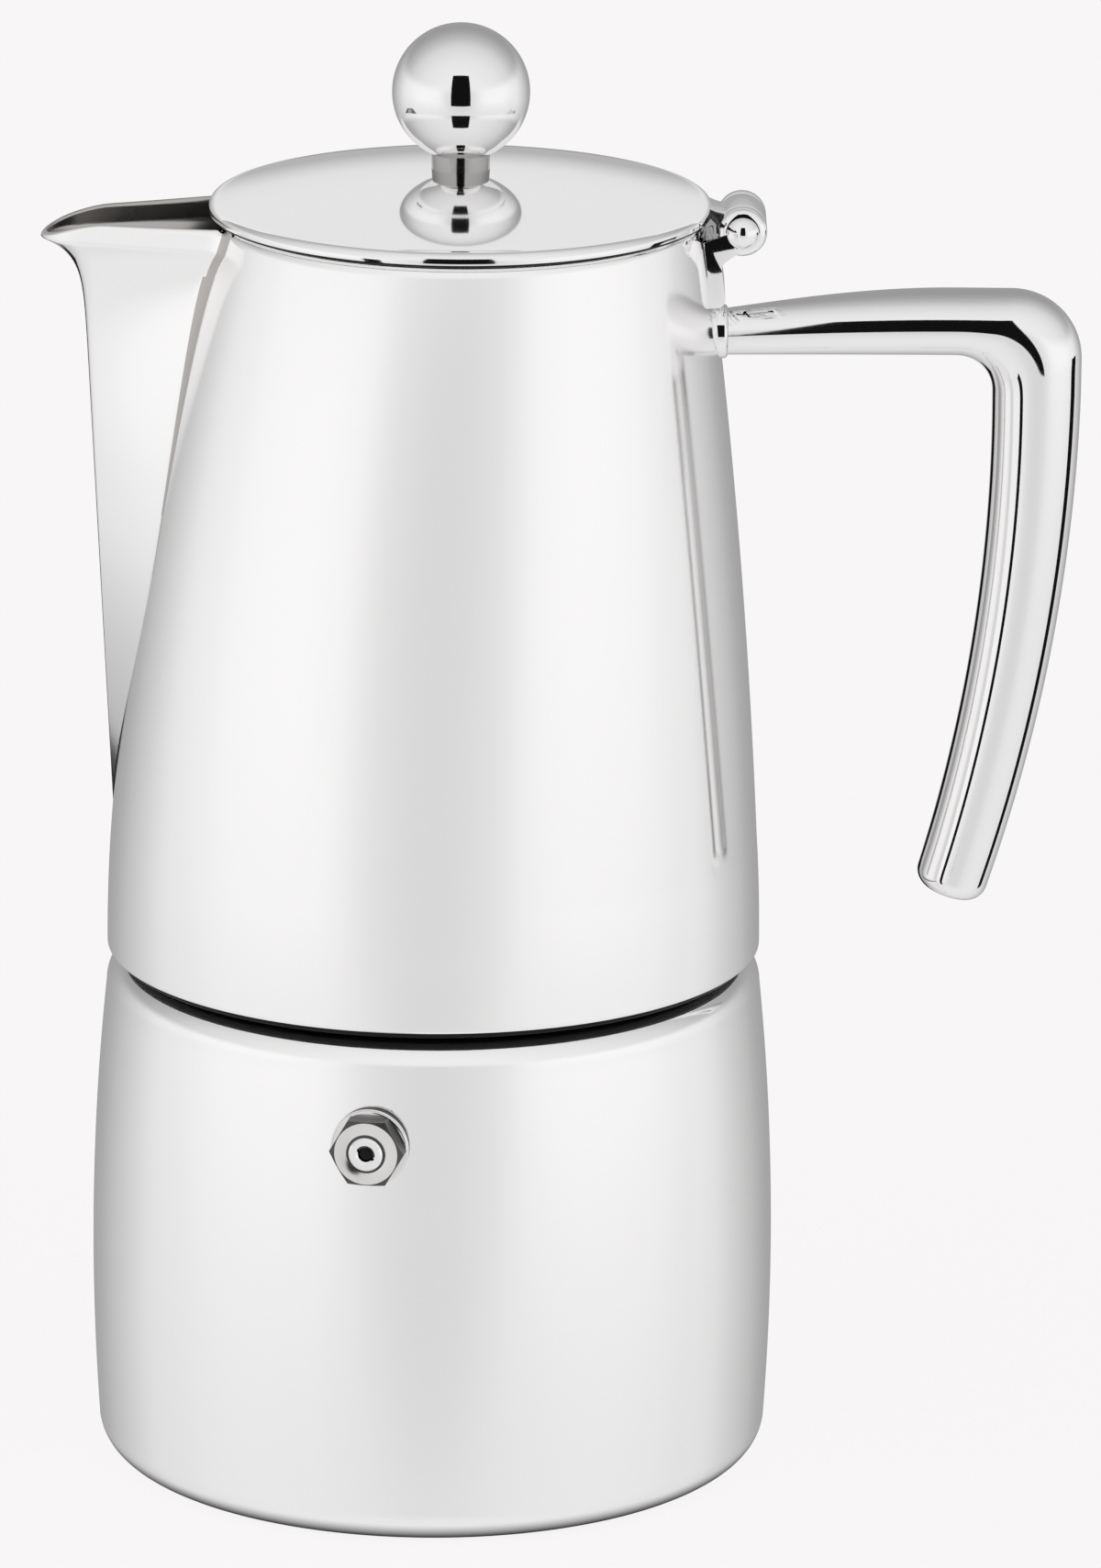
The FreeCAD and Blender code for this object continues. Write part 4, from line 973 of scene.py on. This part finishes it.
def screw_outline():
    low, high = (corner[2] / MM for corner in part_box("knob_screw"))
    top = low + SCREW_HEAD_HEIGHT
    head = [(0.0, low, 0.0), (SCREW_HEAD_RADIUS, low, 1.4), (SCREW_HEAD_RADIUS, top, 0.1)]
    shank = [(SCREW_RADIUS, top, 0.1), (SCREW_RADIUS, high, 0.3), (0.0, high, 0.0)]
    return rounded(head + shank)


def washer_outline():
    low, high = (corner[2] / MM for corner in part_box("knob_washer"))
    return sleeve(WASHER_BORE, WASHER_RADIUS, low, high, (0.1, 0.2, 0.2, 0.1))


def lid_reach(spot):
    """Distance from the axis of lid and knob."""
    return math.hypot(spot.x - JUG_RIM_SHIFT, spot.y)


def on_lid_rim(spot):
    return spot.z < LID_BOTTOM + LID_RIM_SHADE and lid_reach(spot) > LID_RADIUS - LID_RIM_SHADE


def on_knob_neck(spot):
    return lid_reach(spot) < KNOB_NECK + PAINT_MARGIN and spot.z < KNOB_TOP - KNOB_RADIUS


def lid_piece(name, outline, segments, material, slot, node):
    piece = make_object(name, lathe(outline, JUG_RIM_SHIFT, segments))
    return dress(piece, "lid", material, slot, node)


def lid():
    dome = lid_piece("lid_polished", lid_outline(), ROUND, LID_STEEL, "polished_steel", "lid_shell")
    # Painted shade: a near-black line along the lid's lower rim, where it sits on the jug
    paint(dome, PAINTED_BLACK_SHADE, on_lid_rim)
    ball = lid_piece("knob_ball", knob_outline(), ROUND, MIRROR_STEEL, "polished_steel", "knob")
    # Painted shade on the knob's neck, under the ball
    paint(ball, NECK_PAINTED_SHADE, on_knob_neck)
    lid_piece("knob_screw_pan_head", screw_outline(), SMALL_ROUND, SATIN_STEEL, "satin_steel", "knob_screw")
    lid_piece("knob_washer_rounded", washer_outline(), SMALL_ROUND, SATIN_STEEL, "satin_steel", "knob_washer")
    return dome, ball


dome, ball = lid()


# Hinge, with barrels and pin drawn with Z along the pin

HINGE_FRAME = Matrix.Translation((HINGE_X, 0, HINGE_Z)) @ Matrix.Rotation(math.radians(90), 4, "X")


def barrel(name, low, high, bore, edges, body, *nodes):
    outline = sleeve(bore, BARREL_RADIUS, low, high, (0.0, *edges, 0.0))
    piece = make_object(name, lathe(outline, segments=FINE_ROUND), transform=HINGE_FRAME)
    return dress(piece, body, MIRROR_STEEL, "polished_steel", *nodes)


def pin_outline():
    end = HINGE_HALF + PIN_HEAD_HEIGHT
    dome = dome_radius(PIN_HEAD_RADIUS, PIN_HEAD_HEIGHT)
    low_dome = arc((0.0, -end), (PIN_HEAD_RADIUS, -HINGE_HALF), dome, 24)
    high_dome = arc((PIN_HEAD_RADIUS, HINGE_HALF), (0.0, end), dome, 24)
    return [*low_dome, (PIN_RADIUS, -HINGE_HALF), (PIN_RADIUS, HINGE_HALF), *high_dome]


def strap_outline():
    """The strap from the barrel down the jug's wall, with its back sunk into the wall."""
    low = HINGE_Z - STRAP_DROP
    bend = HINGE_Z - HINGE_RADIUS * 1.5
    root = HINGE_Z - HINGE_RADIUS * 0.5
    return rounded([
        (wall_x(low) - STRAP_SUNK, low, 0.0),
        (wall_x(low) + STRAP_THICK, low, 1.2),
        (wall_x(bend) + STRAP_THICK, bend, 1.5),
        (HINGE_X - 0.4, HINGE_Z - HINGE_RADIUS * 0.9, 0.0),
        (HINGE_X - HINGE_RADIUS * 0.6, HINGE_Z, 0.0),
        (wall_x(root) - STRAP_SUNK, root, 0.0),
    ])


def web_outline():
    """The lid's web from its edge to the knuckle."""
    edge = JUG_RIM_SHIFT + LID_RADIUS
    crest = LID_BOTTOM + LID_EDGE + LID_BEAD
    return rounded([
        (edge - 0.9, crest - 0.9, 0.0),
        (edge - 0.4, LID_BOTTOM + 0.1, 0.0),
        (HINGE_X - HINGE_RADIUS * 0.9, HINGE_Z - 0.4, 0.0),
        (HINGE_X - HINGE_RADIUS * 0.4, HINGE_Z + HINGE_RADIUS * 0.6, 0.0),
        (edge + 0.5, crest - 1.0, 0.8),
        (edge - 0.9, crest - 0.4, 0.0),
    ])


def hinge():
    pin = make_object("hinge_pin_domed", lathe(pin_outline(), segments=FINE_ROUND), transform=HINGE_FRAME)
    dress(pin, "jug", MIRROR_STEEL, "polished_steel", "hinge_pin")
    ear_low = KNUCKLE_HALF + HINGE_GAP
    room = sleeve(0.0, BARREL_RADIUS + HINGE_GAP, -ear_low, ear_low, (0.0, 0.0, 0.0, 0.0))
    strap = make_object("hinge_strap", prism(strap_outline(), HINGE_HALF))
    carve(strap, make_object("knuckle_room", lathe(room, segments=CUTTER_ROUND), transform=HINGE_FRAME))
    soften(strap)
    dress(strap, "jug", MIRROR_STEEL, "polished_steel", "hinge_lug")
    front_edges = (BARREL_EDGE, BARREL_END)
    back_edges = (BARREL_END, BARREL_EDGE)
    inner_edges = (BARREL_EDGE, BARREL_EDGE)
    bore = PIN_RADIUS + PIN_CLEARANCE
    front_ear = barrel("hinge_ear_front", ear_low, HINGE_HALF, PIN_RADIUS, front_edges, "jug")
    back_ear = barrel("hinge_ear_back", -HINGE_HALF, -ear_low, PIN_RADIUS, back_edges, "jug")
    knuckle = barrel("lid_knuckle", -KNUCKLE_HALF, KNUCKLE_HALF, bore, inner_edges, "lid", "lid_tongue")
    web = make_object("lid_web", prism(web_outline(), KNUCKLE_HALF))
    soften(web)
    dress(web, "lid", MIRROR_STEEL, "polished_steel")
    # Painted shade on the web's side faces, between lid and barrel
    paint(web, PAINTED_SHADE_STEEL, lambda spot: abs(spot.y) > KNUCKLE_HALF - WEB_FLANK)
    return front_ear, back_ear, knuckle, web


hinge_pieces = hinge()


# Handle

BEND_X = HANDLE_REACH - GRIP_THICK - HANDLE_INNER
BEND_Z = HANDLE_UNDER - HANDLE_INNER
GRIP_END = BEND_Z - GRIP_LENGTH


def squared(value):
    """A sine or cosine for a squarer circle."""
    return math.copysign(abs(value) ** (2 / GRIP_SQUARENESS), value)


def handle_ring(x, z, heading, thick, width):
    """Rounded section at x, z, square to a heading in the XZ plane."""
    up = Vector((-math.sin(heading), 0, math.cos(heading)))
    ring = []
    for turn in full_turn(SMALL_ROUND):
        high = squared(math.cos(turn))
        wide = squared(math.sin(turn))
        point = Vector((x, 0, z)) + up * (high * thick / 2) + Vector((0, wide * width / 2, 0))
        ring.append(tuple(point))
    return ring


def arm_rings():
    arm_thick = HANDLE_TOP - HANDLE_UNDER
    root_under = HANDLE_JOINT - HANDLE_ROOT_HEIGHT / 2
    for row in range(ARM_ROWS):
        share = row / ARM_ROWS
        swell = math.sin(share * math.pi / 2)
        thick = blend(HANDLE_ROOT_HEIGHT, arm_thick, swell)
        under = blend(root_under, HANDLE_UNDER, swell)
        width = blend(HANDLE_ROOT_WIDTH, GRIP_WIDTH, swell)
        yield handle_ring(blend(HANDLE_ROOT_X, BEND_X, share), under + thick / 2, 0.0, thick, width)


def bend_reach(angle):
    """Distance from the bend's inside centre to its outside."""
    width = HANDLE_REACH - BEND_X
    height = HANDLE_TOP - BEND_Z
    across = math.cos(angle)
    upward = math.sin(angle)
    reach = min(width / max(across, 1e-9), height / max(upward, 1e-9))
    if reach * across > width - HANDLE_OUTER and reach * upward > height - HANDLE_OUTER:
        along = (width - HANDLE_OUTER) * across + (height - HANDLE_OUTER) * upward
        square = (width - HANDLE_OUTER) ** 2 + (height - HANDLE_OUTER) ** 2
        reach = along + math.sqrt(along * along - square + HANDLE_OUTER ** 2)
    return reach


def bend_rings():
    for row in range(BEND_ROWS + 1):
        angle = math.pi / 2 * (1 - row / BEND_ROWS)
        outer = bend_reach(angle)
        middle = (HANDLE_INNER + outer) / 2
        x = BEND_X + middle * math.cos(angle)
        z = BEND_Z + middle * math.sin(angle)
        yield handle_ring(x, z, angle - math.pi / 2, outer - HANDLE_INNER, GRIP_WIDTH)


def grip_ring(z, inset):
    lean = math.asin((BEND_Z - z) / GRIP_CURVE)
    x = HANDLE_REACH - GRIP_THICK / 2 - GRIP_CURVE * (1 - math.cos(lean))
    share = (BEND_Z - z) / (BEND_Z - GRIP_END)
    thick = blend(GRIP_THICK, GRIP_END_THICK, share) - inset * 2
    width = blend(GRIP_WIDTH, GRIP_END_WIDTH, share) - inset * 2
    return handle_ring(x, z, -math.pi / 2 - lean, thick, width)


def grip_rings():
    last = GRIP_END + GRIP_ROUNDING
    for row in range(1, GRIP_ROWS + 1):
        yield grip_ring(blend(BEND_Z, last, row / GRIP_ROWS), 0.0)
    for row in range(1, END_ROWS + 1):
        angle = math.pi / 2 * row / (END_ROWS + END_REST)
        inset = GRIP_ROUNDING * (1 - math.cos(angle))
        yield grip_ring(GRIP_END + GRIP_ROUNDING * (1 - math.sin(angle)), inset)


def handle():
    rings = [*arm_rings(), *bend_rings(), *grip_rings()]
    grip = make_object("handle_polished", skin(rings, ends=True), sharp=60)
    dress(grip, "jug", MIRROR_STEEL, "polished_steel", "handle")
    sunk = wall_x(HANDLE_JOINT) - COLLAR_SUNK
    outline = sleeve(0.0, COLLAR_RADIUS, sunk, HANDLE_ROOT_X, (0.0, 0.0, COLLAR_EDGE, 0.0))
    collar_frame = Matrix.Translation((0, 0, HANDLE_JOINT)) @ Matrix.Rotation(math.radians(90), 4, "Y")
    collar = make_object("handle_collar_rounded", lathe(outline, segments=FINE_ROUND), transform=collar_frame)
    dress(collar, "jug", MIRROR_STEEL, "polished_steel", "handle_collar")


handle()


# Light tent, floor and camera

BACKDROP = (0.966, 0.949, 0.958, 1.0)
BLACK = (0.006, 0.006, 0.006, 1.0)

# Grey tones from the tent's back to the camera's side, and where the walls begin and end

FLOOR_TONES = ((0.0, 0.34), (0.12, 0.50), (0.30, 0.73), (0.50, 0.81), (0.75, 0.85), (0.93, 0.80), (1.0, 0.67))
WALL_TONES = ((0.0, 0.34), (0.12, 0.51), (0.30, 0.80), (0.50, 0.93), (0.72, 0.99), (0.91, 0.94), (1.0, 0.72))
ROOF_TONES = (
    (0.0, 0.34), (0.12, 0.36), (0.23, 0.45), (0.34, 0.56),
    (0.45, 0.69), (0.60, 0.79), (0.86, 0.88), (1.0, 0.88),
)
FLOOR_RISE = (-0.46, -0.04)
ROOF_RISE = (0.10, 0.34)
LID_GLOW = ((0.0, 0.12), (0.2, 0.44), (0.7, 0.48))
HINGE_GLOW = ((0.0, 0.06), (0.2, 0.12), (0.7, 0.40))

# Stretches of the tent: a heading in degrees, and ranges across and upwards at a distance of one

BACK_SIDE = (180.0, (-0.9, 0.9), (-0.12, 1.1))
OPENING = (0.0, (-0.29, 0.29), (-0.23, 0.80))
LEFT_CARD = (0.0, (-0.98, -0.72), (-0.64, -0.09))
RIGHT_CARD = (90.0, (0.15, 0.50), (-0.70, -0.10))
BACK_CARD = (-155.0, (-0.21, 0.21), (-0.80, -0.12))
CARDS = (OPENING, LEFT_CARD, RIGHT_CARD, BACK_CARD)
PATCH_DISTANCE = 200.0

FLOOR_HALF = 20.0
FLOOR_COLOR = (0.9, 0.9, 0.9, 1.0)
FLOOR_GLOW = 0.93
# Painted contact shadow on the floor under the boiler, seen only in reflections
PAINTED_CONTACT_SHADOW = (0.02, 0.02, 0.02, 1.0)
PAINTED_SHADOW_RANGE = ((BOILER_RADIUS - 5.0) * MM, (BOILER_RADIUS + 1.0) * MM)

CAMERA_LENS = 245.4
CAMERA_SENSOR = 36.0
CAMERA_RANGE = 100.0
CAMERA_SPOT = Vector((17.4, -1500.0, 528.5)) * MM
CAMERA_TARGET = Vector((17.0, 0.0, 100.5)) * MM
CAMERA_ROLL = 0.4


def calculate(tree, operation, *values):
    """A math node on numbers and on other nodes' outputs."""
    node = tree.nodes.new("ShaderNodeMath")
    node.operation = operation
    fill(node, dict(enumerate(values)))
    return node.outputs[0]


def smooth(tree, value, low, high):
    """A smooth step from zero to one between two values."""
    node = new_node(tree, "MapRange", {"Value": value, "From Min": low, "From Max": high})
    node.interpolation_type = "SMOOTHSTEP"
    return node.outputs["Result"]


def tones(tree, value, stops):
    """Grey tones that follow a value from zero to one."""
    node = new_node(tree, "ValToRGB", {"Fac": value})
    node.color_ramp.interpolation = "CARDINAL"
    while len(node.color_ramp.elements) < len(stops):
        node.color_ramp.elements.new(0.5)
    for element, (spot, tone) in zip(node.color_ramp.elements, stops):
        element.position = spot
        element.color = (tone, tone, tone, 1.0)
    return node.outputs["Color"]


def mixed(tree, share, first, second):
    """A blend of two colours."""
    node = tree.nodes.new("ShaderNodeMix")
    node.data_type = "RGBA"
    fill(node, {"Factor": share, "A": first, "B": second})
    return node.outputs["Result"]


def mixed_shader(tree, share, first, second):
    return new_node(tree, "MixShader", {"Fac": share, 1: first, 2: second}).outputs["Shader"]


def vector_math(tree, operation, vector):
    node = new_node(tree, "VectorMath", {0: vector})
    node.operation = operation
    return node


def heading_of(tree, direction):
    """A direction's parts to the right, away from the camera and upwards."""
    split = new_node(tree, "SeparateXYZ", {"Vector": direction})
    return [split.outputs[axis] for axis in "XYZ"]


def tent_color(tree, direction):
    """The tent's tone in a direction: floor, walls and roof, each from its back to the camera's side."""
    _, away, upward = heading_of(tree, direction)
    facing = calculate(tree, "MULTIPLY_ADD", away, -0.5, 0.5)
    low = tones(tree, facing, FLOOR_TONES)
    middle = tones(tree, facing, WALL_TONES)
    high = tones(tree, facing, ROOF_TONES)
    walls = mixed(tree, smooth(tree, upward, *FLOOR_RISE), low, middle)
    return mixed(tree, smooth(tree, upward, *ROOF_RISE), walls, high)


def height_glow(stops):
    """A glow that grows with height."""
    return lambda tree, direction: tones(tree, heading_of(tree, direction)[2], stops)


def card(tree, direction, heading, across_range, rise_range):
    """One where a direction meets a rectangle that stands at a heading, zero elsewhere."""
    across, away, upward = heading_of(tree, direction)
    turn = math.radians(heading)
    sideways = calculate(tree, "MULTIPLY", across, math.sin(turn))
    ahead = calculate(tree, "MULTIPLY_ADD", away, -math.cos(turn), sideways)
    sideways = calculate(tree, "MULTIPLY", across, math.cos(turn))
    beside = calculate(tree, "MULTIPLY_ADD", away, math.sin(turn), sideways)
    forward = calculate(tree, "MAXIMUM", ahead, 0.001)
    inside = calculate(tree, "GREATER_THAN", ahead, 0.0)
    for part, (low, high) in ((beside, across_range), (upward, rise_range)):
        value = calculate(tree, "DIVIDE", part, forward)
        inside = calculate(tree, "MULTIPLY", inside, calculate(tree, "GREATER_THAN", value, low))
        inside = calculate(tree, "MULTIPLY", inside, calculate(tree, "LESS_THAN", value, high))
    return inside


def tent():
    """A pale tent with dark cards for all rays but the camera's own, which see the backdrop."""
    world = bpy.data.worlds.new("tent")
    bpy.context.scene.world = world
    world.use_nodes = True
    tree = world.node_tree
    direction = source(tree, "TexCoord", "Generated")
    color = tent_color(tree, direction)
    for place in CARDS:
        color = mixed(tree, card(tree, direction, *place), color, BLACK)
    camera_ray = source(tree, "LightPath", "Is Camera Ray")
    fill(tree.nodes["Background"], {"Color": mixed(tree, camera_ray, color, BACKDROP)})


def patch(name, pieces, place, glow=tent_color):
    """A far light over a stretch of the tent, for some pieces only; glow gives its colour in a direction."""
    heading, (left, right), (low, high) = place
    turn = math.radians(heading)
    light = bpy.data.lights.new(name, "AREA")
    light.shape = "RECTANGLE"
    light.size = (right - left) * PATCH_DISTANCE
    light.size_y = (high - low) * PATCH_DISTANCE
    light.energy = math.pi * light.size * light.size_y
    light.use_nodes = True
    tree = light.node_tree
    position = source(tree, "NewGeometry", "Position")
    direction = vector_math(tree, "NORMALIZE", position).outputs["Vector"]
    fill(tree.nodes["Emission"], {"Color": glow(tree, direction)})
    lamp = new_object(name, light)
    forward = Vector((math.sin(turn), -math.cos(turn), 0.0))
    beside = Vector((math.cos(turn), math.sin(turn), 0.0))
    offset = forward + beside * ((left + right) / 2) + Vector((0.0, 0.0, (low + high) / 2))
    lamp.location = offset * PATCH_DISTANCE
    lamp.rotation_euler = (math.radians(90), 0.0, turn)
    lamp.visible_camera = False
    served = bpy.data.collections.new(name + "_pieces")
    for piece in pieces:
        served.objects.link(piece)
    lamp.light_linking.receiver_collection = served


def floor():
    """A pale floor with a soft shadow; reflections see the tent through it, and a painted dark contact shadow
    under the boiler.
    """
    mesh = bpy.data.meshes.new("floor")
    corners = [(x * FLOOR_HALF, y * FLOOR_HALF, 0) for x, y in ((-1, -1), (1, -1), (1, 1), (-1, 1))]
    mesh.from_pydata(corners, [], [(0, 1, 2, 3)])
    plane = new_object("floor", mesh)
    material, tree = new_material("floor")
    tree.nodes.remove(tree.nodes["Principled BSDF"])
    ground = new_node(tree, "BsdfDiffuse", {"Color": FLOOR_COLOR}).outputs["BSDF"]
    glow = new_node(tree, "Emission", {"Color": BACKDROP}).outputs["Emission"]
    pale = mixed_shader(tree, FLOOR_GLOW, ground, glow)
    clear = source(tree, "BsdfTransparent", "BSDF")
    contact_shadow = new_node(tree, "BsdfDiffuse", {"Color": PAINTED_CONTACT_SHADOW}).outputs["BSDF"]
    place = source(tree, "TexCoord", "Object")
    distance = vector_math(tree, "LENGTH", place).outputs["Value"]
    under = mixed_shader(tree, smooth(tree, distance, *PAINTED_SHADOW_RANGE), contact_shadow, clear)
    camera_ray = source(tree, "LightPath", "Is Camera Ray")
    fill(tree.nodes["Material Output"], {"Surface": mixed_shader(tree, camera_ray, under, pale)})
    mesh.materials.append(material)


def camera():
    lens = bpy.data.cameras.new("camera")
    lens.lens = CAMERA_LENS
    lens.sensor_width = CAMERA_SENSOR
    lens.clip_end = CAMERA_RANGE
    eye = new_object("camera", lens)
    roll = Matrix.Rotation(math.radians(CAMERA_ROLL), 4, "Z")
    aim = (CAMERA_TARGET - CAMERA_SPOT).to_track_quat("-Z", "Y").to_matrix().to_4x4()
    eye.matrix_world = Matrix.Translation(CAMERA_SPOT) @ aim @ roll
    bpy.context.scene.camera = eye


tent()
patch("opening_fill", (boiler, jug, spout), OPENING)
patch("left_card_fill", (boiler, jug, spout, ball), LEFT_CARD)
patch("right_card_fill", (boiler, jug, spout, ball), RIGHT_CARD)
patch("back_card_fill", (boiler, jug, ball), BACK_CARD)
patch("lid_fill", (dome,), BACK_SIDE, height_glow(LID_GLOW))
patch("hinge_fill", hinge_pieces, BACK_SIDE, height_glow(HINGE_GLOW))
floor()
camera()
bpy.context.scene.view_settings.view_transform = "Standard"
